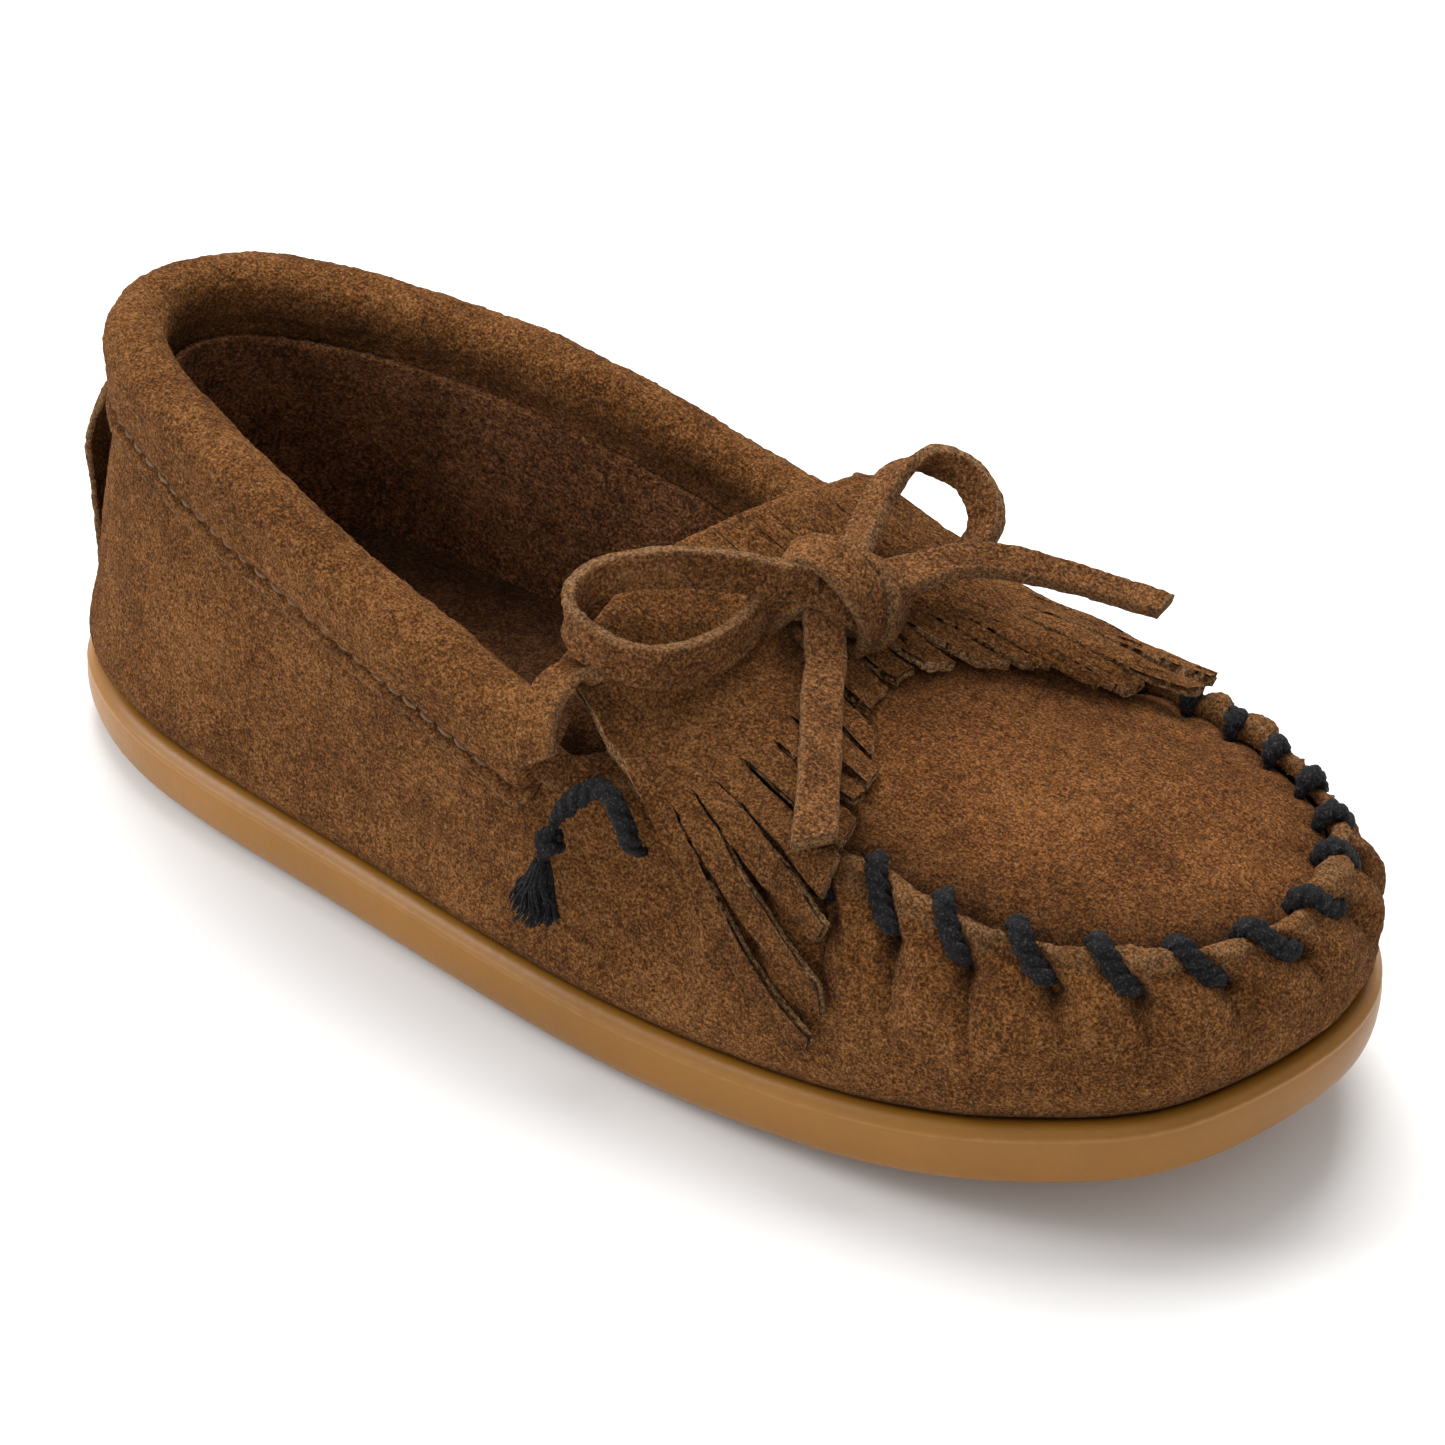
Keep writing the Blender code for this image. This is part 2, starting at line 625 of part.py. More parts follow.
for side in (-1, 1):
    place = Vector((112.6, side * 5.2, drape(112.6, side * 5.2))) * MM
    bm = bmesh.new()
    bmesh.ops.create_cube(bm, size=MM, matrix=Matrix.Diagonal((2.6, 5.5, 12, 1)))
    slot_mesh = bpy.data.meshes.new("lace_slot_tool")
    bm.to_mesh(slot_mesh)
    bm.free()
    slot = bpy.data.objects.new("lace_slot_tool_" + ("outer" if side < 0 else "inner"), slot_mesh)
    slot.location = place
    cutters.objects.link(slot)
    union(kiltie, slot, "DIFFERENCE")

FRINGE_OUT = [0, 1 / 18, 2 / 18, 3 / 18]
FRINGE_IN = [16.55 / 18, 17 / 18, 1]
HINGE_OUT = (117.79, SPLIT_OUT, 41.63)      # middle of each fringe's hinge line
HINGE_IN = (132.73, SPLIT_IN, 42.82)


def outer_root(p):
    q = rib_cross(p, SPLIT_OUT - 0.3)
    return q, q + 0.35 * (1 - q)


def inner_root(p):
    q = rib_cross(p, SPLIT_IN + 0.3)
    return q, q + 0.35 * (1 - q)


comb("fringe_outer", FRINGE_OUT, outer_root, lambda p: 1.0, 0.012, 2, 3, SUEDE_M, HINGE_OUT)
comb("fringe_inner", FRINGE_IN, inner_root, lambda p: 1.0, 0.012, 2, 3, SUEDE_M, HINGE_IN)

# ------------------------------------------------------------------ lace


def lead(name, sign):
    """Lace from the collar's end, between the plug and the kiltie, up through the kiltie's slot."""
    t_end = 5.12
    w = sign
    e = wall([t_end if sign < 0 else -t_end], 1.0, 0.4)[0] + np.array([2.2, 0, 1.2])
    pts = [e]
    for t, k in ((5.36, 0.88), (5.52, 0.64), (5.66, 0.42)):
        p = plug_at([t], w * k)[0]
        pts.append(p + np.array([0, 0, 1.05]))
    x, y = 112.6, sign * 5.2
    pts.append(np.array([x, y + sign * 2.2, drape(x, y) - 1.9]))
    path = open_spline(pts, 11)
    hint = np.array([(0.1, sign * 0.35, 1.0)] * len(path))
    return strap(name, path, hint, 4.2, 1.1, THONG)


lead("lace_lead_outer", -1)
lead("lace_lead_inner", 1)

bpy.ops.mesh.primitive_uv_sphere_add(segments=14, ring_count=9, radius=1)
knot = bpy.context.object
knot.name = knot.data.name = "lace_knot"
for v in knot.data.vertices:
    c = v.co
    v.co = Vector((c.x * 5.4 + 0.5 * c.x * abs(c.y), c.y * 4.9, c.z * 4.2)) * MM
knot.location = Vector(KNOT) * MM
knot.data.materials.append(THONG)
knot.data.shade_smooth()
for c in list(knot.users_collection):
    c.objects.unlink(knot)
parts.objects.link(knot)

LOOP_OUT = [(109.2, -6.4, 53.4), (109.6, -10.0, 52.3), (109.0, -15.0, 51.7), (105.6, -21.3, 51.6), (99.5, -24.8, 53.4), (95.2, -24.1, 56.0),
            (95.0, -20.0, 58.2), (99.2, -14.7, 59.0), (104.8, -9.8, 58.6), (108.4, -6.6, 57.4)]
LOOP_IN = [(112.8, 6.6, 55.6), (111.6, 9.8, 56.0), (110.4, 14.0, 57.0), (110.2, 18.5, 59.2), (112.6, 22.0, 60.2), (117.3, 23.2, 59.2),
           (121.2, 21.6, 56.2), (121.4, 18.0, 53.6), (118.5, 12.0, 52.4), (116.6, 7.4, 52.6)]
TAIL_OUT = [(118.4, -6.4, 49.6), (121.4, -11.0, 48.3), (125.6, -17.0, 46.6), (129.4, -22.6, 44.9), (132.8, -27.8, 43.0)]
TAIL_IN = [(119.6, 5.6, 55.2), (123.4, 10.8, 56.0), (128.0, 15.6, 55.5), (136.0, 20.2, 53.6), (145.0, 24.3, 51.5)]

def ribbon_on_edge(name, rows, wide, count, origin):
    """Thong bent into a loop, standing on its edge: its width lies along wide."""
    path = open_spline(rows, count)
    tangent = np.gradient(path, axis=0)
    hint = np.cross(tangent, np.array(wide, float))
    return strap(name, path, hint, LACE_W, LACE_T, THONG, origin)


ribbon_on_edge("bow_loop_outer", LOOP_OUT, (0.12, -0.25, 1.0), 20, (109.9, -5.2, 58.4))
ribbon_on_edge("bow_loop_inner", LOOP_IN, (0.75, -0.25, 0.62), 20, (114.5, 5.4, 54.5))
strap("lace_tail_outer", open_spline(TAIL_OUT, 9), (0.25, -0.15, 1.0), LACE_W, LACE_T, THONG, (118.1, -6.0, 50.6))
strap("lace_tail_inner", open_spline(TAIL_IN, 9), (0.1, -0.35, 1.0), LACE_W, LACE_T, THONG, (118.9, 5.0, 55.4))

# ------------------------------------------------------------------ the frame's origin is the middle of the waist pad, on the ground
for item in list(parts.objects) + list(cutters.objects):
    item.location -= Vector((*WAIST_PAD, 0)) * MM
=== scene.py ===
"""Visual model of the suede moccasin: fine geometry and procedural finishes that ride on the CAD frame.

Shapes are drawn in millimetres in the last's own frame: x from the back of the sole to the toe, -y the outer side,
z up from the ground. They are moved to the CAD's origin, the middle of the waist pad, when each mesh is made.
"""

import math

import bpy
import numpy as np
from mathutils import Matrix, Vector


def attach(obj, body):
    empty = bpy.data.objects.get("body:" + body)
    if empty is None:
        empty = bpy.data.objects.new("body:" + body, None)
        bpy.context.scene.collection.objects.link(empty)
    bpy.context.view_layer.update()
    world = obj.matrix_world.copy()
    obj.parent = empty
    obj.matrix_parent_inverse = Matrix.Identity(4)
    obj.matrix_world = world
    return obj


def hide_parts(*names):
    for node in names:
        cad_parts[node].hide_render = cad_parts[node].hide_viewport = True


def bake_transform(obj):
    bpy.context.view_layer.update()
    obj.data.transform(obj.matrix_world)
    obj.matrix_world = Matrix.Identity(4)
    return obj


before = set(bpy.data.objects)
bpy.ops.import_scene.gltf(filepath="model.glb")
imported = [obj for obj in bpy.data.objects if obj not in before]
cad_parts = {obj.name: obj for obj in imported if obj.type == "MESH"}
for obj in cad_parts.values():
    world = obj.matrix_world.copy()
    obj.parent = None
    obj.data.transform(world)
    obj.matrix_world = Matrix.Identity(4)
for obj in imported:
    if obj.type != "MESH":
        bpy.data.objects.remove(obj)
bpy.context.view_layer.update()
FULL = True

# ------------------------------------------------------------------ driving dimensions and curves, as in the CAD
MM = 0.001
LENGTH = 185.0          # outsole, heel to toe
NUB = 1.2               # tread nubs below the sole plate
SOLE_TOP = 10.0         # top of the sole's lip
SPRING = 11.1           # toe spring at the tip
SPRING_FROM = 105.0     # where the toe starts to lift
SUEDE = 1.6             # vamp thickness
CUFF_T = 1.3            # cuff leather thickness
BASE_IN = 2.4           # upper's base, in from the sole's edge
WALL_FROM = 13.0        # height where the side wall starts
EDGE_DROP = 6.5         # vamp's top edge below the cuff's ridge
CUFF_H = 12.0           # cuff height
CORD_R = 0.9            # waxed cord
STITCH_STEP_OUTER = 9.3
STITCH_STEP_INNER = 6.8
LACE_W, LACE_T = 4.7, 1.8
KNOT = (114.4, 0.0, 53.4)
WAIST_PAD = (77.0, -2.2)  # middle of the rest pad under the arch; the finished shoe is moved so that this is its origin

# Last table. Sole outline, heel centre first, down the outer side, round the toe, back up the inner side.
SOLE = [(0, 0), (3, -13.1), (12, -22), (30, -28.7), (60, -31.9), (95, -35.2), (125, -35.1), (150, -32.1), (168, -25.1), (179, -15.5),
        (185, 4.5), (179.5, 21), (168.5, 30.5), (150, 35.8), (125, 35.8), (95, 31.5), (60, 27.5), (30, 26.5), (12, 21.5), (3, 13)]
# Ridge of the opening: outer side, then inner side, from the heel forward.
RIDGE_OUT = [(7.8, 0, 58.4), (11.6, -8.6, 58.1), (21.5, -14.6, 57.2), (36, -19.8, 55.8), (60, -25.6, 52.6), (95, -28.6, 44.7)]
RIDGE_IN = [(7.8, 0, 58.4), (11.6, 8.8, 58.2), (21.5, 15.2, 57.3), (36, 20.4, 55.6), (60, 25.2, 52.0), (95, 27.6, 44.2)]
# Toe seam between those two.
SEAM = [(122, -24.5, 38.7), (147, -23.9, 37.3), (163.5, -19.6, 36.4), (173.5, -11.6, 35.8), (178.7, 3, 35.5),
        (174, 17.8, 35.8), (164, 24.7, 36.4), (147, 27.8, 37.3), (122, 26.6, 38.7)]
# Crown of the plug above the seam, by x.
CROWN_X = [96, 102, 108, 114, 121, 130, 140, 150, 160, 170, 179]
CROWN_Z = [14.5, 12.0, 9.2, 6.8, 4.9, 4.3, 4.2, 4.2, 3.6, 2.2, 0.0]

# ------------------------------------------------------------------ curves


def closed_spline(rows):
    """Smooth closed curve through rows; its parameter is the row number."""
    p = np.array(rows, float)
    n = len(p)
    a = np.eye(n) * 4 + np.roll(np.eye(n), 1, 1) + np.roll(np.eye(n), -1, 1)
    m = np.linalg.solve(a, 6 * (np.roll(p, -1, 0) - 2 * p + np.roll(p, 1, 0)))

    def at(t):
        t = np.atleast_1d(np.asarray(t, float)) % n
        i = np.floor(t).astype(int) % n
        j = (i + 1) % n
        u = (t - np.floor(t))[:, None]
        v = 1 - u
        return v * p[i] + u * p[j] + ((v**3 - v) * m[i] + (u**3 - u) * m[j]) / 6

    return at


def open_spline(rows, count=None):
    """Smooth open curve through rows; its parameter is the row number. With count, that many even samples."""
    p = np.array(rows, float)
    n = len(p)
    a = np.eye(n) * 4 + np.eye(n, k=1) + np.eye(n, k=-1)
    a[0, :2] = (1, 0)
    a[-1, -2:] = (0, 1)
    b = np.zeros_like(p)
    b[1:-1] = 6 * (p[2:] - 2 * p[1:-1] + p[:-2])
    m = np.linalg.solve(a, b)

    def at(s):
        s = np.atleast_1d(np.asarray(s, float))
        i = np.clip(np.floor(s).astype(int), 0, n - 2)
        u = (s - i)[:, None]
        v = 1 - u
        return v * p[i] + u * p[i + 1] + ((v**3 - v) * m[i] + (u**3 - u) * m[i + 1]) / 6

    return at if count is None else at(np.linspace(0, n - 1, count))


def upper_rows():
    rows = []
    for k, (x, y, z) in enumerate(RIDGE_OUT):
        rows.append((x - (0.8 if k == 0 else 0.3), y - (0 if k == 0 else 0.8), z - EDGE_DROP))
    rows += SEAM
    for x, y, z in RIDGE_IN[:0:-1]:
        rows.append((x - 0.3, y + 0.8, z - EDGE_DROP))
    return rows


sole = closed_spline(SOLE)
edge = closed_spline(upper_rows())            # vamp's top edge, outer face
_ridge = open_spline(RIDGE_IN[:0:-1] + RIDGE_OUT)
HALF = 10                                     # row number of the toe


def ridge(t):
    """Ridge of the cuff, t from -5 (inner front) over 0 (heel) to 5 (outer front)."""
    return _ridge(np.asarray(t, float) + 5)


def spring(x):
    return SPRING * np.clip((np.asarray(x, float) - SPRING_FROM) / (LENGTH - SPRING_FROM), 0, 1.1) ** 2


def outward(curve, t, e=1e-3):
    t = np.atleast_1d(np.asarray(t, float))
    g = curve(t + e)[:, :2] - curve(t - e)[:, :2]
    g /= np.linalg.norm(g, axis=1)[:, None]
    return np.c_[g[:, 1], -g[:, 0]]


# ------------------------------------------------------------------ surfaces


def wall(t, u, off=0.0):
    """Side wall of the upper, outer face. u: 0 at the base, 1 at the top edge. off pushes outward."""
    t = np.atleast_1d(np.asarray(t, float))
    u = np.broadcast_to(np.asarray(u, float), t.shape)
    ns, nv = outward(sole, t), outward(edge, t)
    base = sole(t) - ns * BASE_IN
    top = edge(t)
    zb = WALL_FROM + spring(base[:, 0])
    front = np.clip((top[:, 0] - 95) / 45, 0, 1)
    lean = np.clip(u, 0, None) ** (1.3 + 0.5 * front)
    k = np.clip(u, 0, 1)[:, None]
    n = ns * (1 - k) + nv * k
    n /= np.linalg.norm(n, axis=1)[:, None]
    xy = base + (top[:, :2] - base) * lean[:, None] + n * ((1 + front) * np.sin(np.pi * np.clip(u, 0, 1)))[:, None] + n * off
    return np.c_[xy, zb + (top[:, 2] - zb) * u]


def wall_at(t, z, off=0.0):
    """Side wall at height z."""
    t = np.atleast_1d(np.asarray(t, float))
    base = sole(t) - outward(sole, t) * BASE_IN
    zb = WALL_FROM + spring(base[:, 0])
    return wall(t, (np.asarray(z) - zb) / (edge(t)[:, 2] - zb), off)


def plug_at(t, w, drop=0.0, inset=0.0):
    """Top face of the plug. t from 5 (instep) to 10 (toe); w from -1 (outer) to 1 (inner)."""
    t = np.atleast_1d(np.asarray(t, float))
    w = np.broadcast_to(np.asarray(w, float), t.shape)
    a, b = edge(t), edge(2 * HALF - t)
    a[:, :2] -= outward(edge, t) * inset
    b[:, :2] -= outward(edge, 2 * HALF - t) * inset
    mid = (a + b) / 2
    p = mid + (b - a) / 2 * w[:, None]
    p[:, 2] += np.interp(mid[:, 0], CROWN_X, CROWN_Z) * (1 - np.abs(w) ** 2.2) - drop
    return p


_tt = np.linspace(5.0, 9.9, 500)
_near, _far = edge(_tt), edge(2 * HALF - _tt)


def stitch_places():
    """Seam parameters at even steps of length along the seam, wider on the outer side and the toe."""
    ts = np.linspace(5.60, 14.42, 3000)
    pts = edge(ts)
    run_length = np.r_[0, np.cumsum(np.linalg.norm(np.diff(pts, axis=0), axis=1))]
    places, s = [], 0.0
    while s < run_length[-1]:
        t = float(np.interp(s, run_length, ts))
        places.append(t)
        s += STITCH_STEP_OUTER if t < HALF + 0.3 else STITCH_STEP_INNER
    return places


# kiltie and lace lines, as in the CAD
REAR = open_spline([(96.5, -26.0, 48.8), (95.3, -12.5, 54.2), (97.4, 0, 55.4), (100.4, 12.3, 54.8), (102, 25, 51.4)])
TIPS = open_spline([(138.1, -34.6), (139.6, -34.2), (138.0, -32.6), (136.5, -30.0), (135.3, -25.5), (134.3, -20.6), (131.5, -16.0),
                    (129.0, -11.5), (125.5, -7), (122.6, 0), (124.5, 4.5), (127.5, 9.5), (131.5, 13.8), (137, 16.5), (142.5, 18.5),
                    (147, 22.5), (150, 27.2), (149, 31.8), (146, 34.6)])
LOOP_OUT = [(109.2, -6.4, 53.4), (109.6, -10.0, 52.3), (109.0, -15.0, 51.7), (105.6, -21.3, 51.6), (99.5, -24.8, 53.4), (95.2, -24.1, 56.0),
            (95.0, -20.0, 58.2), (99.2, -14.7, 59.0), (104.8, -9.8, 58.6), (108.4, -6.6, 57.4)]
LOOP_IN = [(112.8, 6.6, 55.6), (111.6, 9.8, 56.0), (110.4, 14.0, 57.0), (110.2, 18.5, 59.2), (112.6, 22.0, 60.2), (117.3, 23.2, 59.2),
           (121.2, 21.6, 56.2), (121.4, 18.0, 53.6), (118.5, 12.0, 52.4), (116.6, 7.4, 52.6)]
TAIL_OUT = [(118.4, -6.4, 49.6), (121.4, -11.0, 48.3), (125.6, -17.0, 46.6), (129.4, -22.6, 44.9), (132.8, -27.8, 43.0)]
TAIL_IN = [(119.6, 5.6, 55.2), (123.4, 10.8, 56.0), (128.0, 15.6, 55.5), (136.0, 20.2, 53.6), (145.0, 24.3, 51.5)]


def smooth(v):
    v = np.clip(v, 0.0, 1.0)
    return v * v * (3 - 2 * v)


def drape(x, y):
    """Height of the kiltie's middle face where it lies on the plug and hangs over the seam."""
    yn, yf = np.interp(x, _near[:, 0], _near[:, 1]), np.interp(x, _far[:, 0], _far[:, 1])
    zn, zf = np.interp(x, _near[:, 0], _near[:, 2]), np.interp(x, _far[:, 0], _far[:, 2])
    w = np.minimum(np.abs((2 * y - yn - yf) / (yf - yn)), 1)
    inside = (zn + zf) / 2 + np.interp(x, CROWN_X, CROWN_Z) * (1 - w ** 2.2) + 3.2
    d = np.maximum(np.maximum(yn - y, y - yf), 0)
    return inside + np.interp(d, [0, 2, 4, 6, 8, 9.5, 10.6], [0, -0.5, -2.2, -5.6, -10.2, -15.5, -20.5])


# ------------------------------------------------------------------ noise


def _hash(i, j, k, seed):
    h = (i.astype(np.uint64) * np.uint64(374761393) + j.astype(np.uint64) * np.uint64(668265263)
         + k.astype(np.uint64) * np.uint64(2147483629) + np.uint64(seed * 144665 + 7)) & np.uint64(0xFFFFFFFF)
    for shift, factor in ((13, 1274126177), (16, 2246822519), (15, 3266489917)):
        h = ((h ^ (h >> np.uint64(shift))) * np.uint64(factor)) & np.uint64(0xFFFFFFFF)
    return (h ^ (h >> np.uint64(16))).astype(np.float64) / 4294967295.0


def noise(p, size, seed=0):
    """Smooth value noise in -1..1 with features of the given size in mm. p (..., 3)."""
    q = np.asarray(p, float) / np.asarray(size, float) + 500.0 + seed * 3.7
    i = np.floor(q)
    f = q - i
    f = f * f * f * (f * (f * 6 - 15) + 10)
    i = i.astype(np.int64)
    out = 0
    for a in (0, 1):
        wa = f[..., 0] if a else 1 - f[..., 0]
        for b in (0, 1):
            wb = f[..., 1] if b else 1 - f[..., 1]
            for c in (0, 1):
                wc = f[..., 2] if c else 1 - f[..., 2]
                out = out + wa * wb * wc * _hash(i[..., 0] + a, i[..., 1] + b, i[..., 2] + c, seed)
    return out * 2 - 1


def fuzz(p, amount=1.0, seed=0):
    """Height of the nap: small tufts over slight waves, in mm."""
    return amount * (0.08 * noise(p, 0.42, seed + 5) + 0.09 * noise(p, 0.8, seed) + 0.08 * noise(p, 1.7, seed + 1) + 0.09 * noise(p, 5.0, seed + 2) + 0.15 * noise(p, 17.0, seed + 3))


def rand(n, seed):
    return np.random.default_rng(seed).random(n)


# ------------------------------------------------------------------ meshes


def grid_faces(n, m, wrap_n=False, wrap_m=False):
    i = np.arange(n if wrap_n else n - 1)
    j = np.arange(m if wrap_m else m - 1)
    a, b = np.meshgrid(i, j, indexing="ij")
    c, d = (a + 1) % n, (b + 1) % m
    return np.stack([a * m + b, a * m + d, c * m + d, c * m + b], -1).reshape(-1, 4)


def grid_normals(p, wrap_n=False, wrap_m=False):
    def diff(axis, wrap):
        return np.roll(p, -1, axis) - np.roll(p, 1, axis) if wrap else np.gradient(p, axis=axis)

    n = np.cross(diff(0, wrap_n), diff(1, wrap_m))
    return n / (np.linalg.norm(n, axis=2, keepdims=True) + 1e-9)


def volume_of(v, faces):
    total = 0.0
    for f in faces:
        f = np.asarray(f)
        for k in range(1, f.shape[1] - 1):
            total += float(np.einsum("ij,ij->i", v[f[:, 0]], np.cross(v[f[:, k]], v[f[:, k + 1]])).sum())
    return total


def new_mesh(name, verts, faces, materials, attributes=None, closed=True):
    """Mesh object from millimetre points. faces: arrays of equal-sided faces. attributes: one float for each point."""
    v = np.asarray(verts, float).reshape(-1, 3)
    faces = [np.asarray(f, np.int64) for f in (faces if isinstance(faces, list) else [faces])]
    if closed and volume_of(v - v.mean(0), faces) < 0:
        faces = [f[:, ::-1] for f in faces]
    place = (v - np.array((*WAIST_PAD, 0.0))) * MM
    mesh = bpy.data.meshes.new(name)
    mesh.vertices.add(len(place))
    mesh.vertices.foreach_set("co", place.astype(np.float32).ravel())
    loops = np.concatenate([f.ravel() for f in faces])
    starts, at = [], 0
    for f in faces:
        starts.append(at + np.arange(len(f)) * f.shape[1])
        at += f.size
    mesh.loops.add(len(loops))
    mesh.loops.foreach_set("vertex_index", loops.astype(np.int32))
    mesh.polygons.add(sum(len(f) for f in faces))
    mesh.polygons.foreach_set("loop_start", np.concatenate(starts).astype(np.int32))
    mesh.update(calc_edges=True)
    rest = mesh.attributes.new("rest", "FLOAT_VECTOR", "POINT")
    rest.data.foreach_set("vector", v.astype(np.float32).ravel())
    # pale: lighter raw cut edges, and on the sole a pale moulding line that is also a painted highlight; dark: painted
    # shade in creases, recesses and shaded sides, and random tone on the tassel's loose strands
    for key in ("pale", "dark"):
        values = (attributes or {}).get(key)
        a = mesh.attributes.new(key, "FLOAT", "POINT")
        if values is not None:
            a.data.foreach_set("value", np.broadcast_to(np.asarray(values, np.float32).ravel(), (len(v),)).copy())
    for m in materials if isinstance(materials, (list, tuple)) else [materials]:
        mesh.materials.append(m)
    mesh.validate()
    mesh.shade_smooth()
    obj = bpy.data.objects.new(name, mesh)
    bpy.context.scene.collection.objects.link(obj)
    return obj


def sweep(sections, close_ends=True):
    """Points and faces of a tube through sections (k, m, 3)."""
    k, m = sections.shape[:2]
    v = sections.reshape(-1, 3)
    faces = [grid_faces(k, m, False, True)]
    if close_ends:
        ends = np.array([sections[0].mean(0), sections[-1].mean(0)])
        v = np.vstack([v, ends])
        j = np.arange(m)
        first = np.stack([np.full(m, k * m), (j + 1) % m, j], 1)
        last = np.stack([np.full(m, k * m + 1), (k - 1) * m + j, (k - 1) * m + (j + 1) % m], 1)
        faces.append(np.vstack([first, last]))
    return v, faces


def frames(path, hint):
    """Tangent, side and up vectors along a path. hint is an up vector, or one for each point."""
    p = np.array(path, float)
    t = np.gradient(p, axis=0)
    t /= np.linalg.norm(t, axis=1)[:, None]
    h = np.broadcast_to(np.array(hint, float), p.shape)
    side = np.cross(t, h)
    side /= np.linalg.norm(side, axis=1)[:, None] + 1e-9
    return t, side, np.cross(side, t)


def even(path, step):
    """Path resampled at even steps of length."""
    p = np.array(path, float)
    s = np.r_[0, np.cumsum(np.linalg.norm(np.diff(p, axis=0), axis=1))]
    n = max(int(round(s[-1] / step)), 4)
    q = np.linspace(0, s[-1], n + 1)
    return np.stack([np.interp(q, s, p[:, k]) for k in range(3)], 1)


def ride_all(obj, body, slot_name, *nodes):
    if nodes:
        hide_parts(*nodes)
    if body:
        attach(obj, body)
    return obj


# ------------------------------------------------------------------ materials


def material(name):
    m = bpy.data.materials.new(name)
    m.use_nodes = True
    return m, m.node_tree.nodes, m.node_tree.links, m.node_tree.nodes["Principled BSDF"]


def attribute(ns, name):
    a = ns.new("ShaderNodeAttribute")
    a.attribute_name = name
    return a


def noise_node(ns, ln, vector, scale, detail=2.0, rough=0.5, distortion=0.0):
    n = ns.new("ShaderNodeTexNoise")
    n.inputs["Scale"].default_value = scale
    n.inputs["Detail"].default_value = detail
    n.inputs["Roughness"].default_value = rough
    n.inputs["Distortion"].default_value = distortion
    ln.new(vector, n.inputs["Vector"])
    return n.outputs["Fac"]


def maths(ns, ln, kind, a, b=None, clamp=False):
    n = ns.new("ShaderNodeMath")
    n.operation = kind
    n.use_clamp = clamp
    for slot, v in ((0, a), (1, b)):
        if v is None:
            continue
        if isinstance(v, (int, float)):
            n.inputs[slot].default_value = v
        else:
            ln.new(v, n.inputs[slot])
    return n.outputs[0]


def mix(ns, ln, factor, a, b, kind="MIX"):
    n = ns.new("ShaderNodeMix")
    n.data_type = "RGBA"
    n.blend_type = kind
    sockets = [s for s in n.inputs if s.type == "RGBA"]
    if isinstance(factor, (int, float)):
        n.inputs[0].default_value = factor
    else:
        ln.new(factor, n.inputs[0])
    for s, v in zip(sockets, (a, b)):
        if isinstance(v, tuple):
            s.default_value = (*v, 1)
        else:
            ln.new(v, s)
    return [s for s in n.outputs if s.type == "RGBA"][0]


def ramp(ns, ln, value, stops):
    n = ns.new("ShaderNodeValToRGB")
    e = n.color_ramp.elements
    while len(e) < len(stops):
        e.new(0.5)
    for k, (at, color) in enumerate(stops):
        e[k].position = at
        e[k].color = (*color, 1)
    ln.new(value, n.inputs["Fac"])
    return n.outputs["Color"]


def stretched(ns, ln, vector, scale):
    n = ns.new("ShaderNodeMapping")
    n.inputs["Scale"].default_value = scale
    n.inputs["Rotation"].default_value = (0.3, 0.5, 0.2)
    ln.new(vector, n.inputs["Vector"])
    return n.outputs["Vector"]


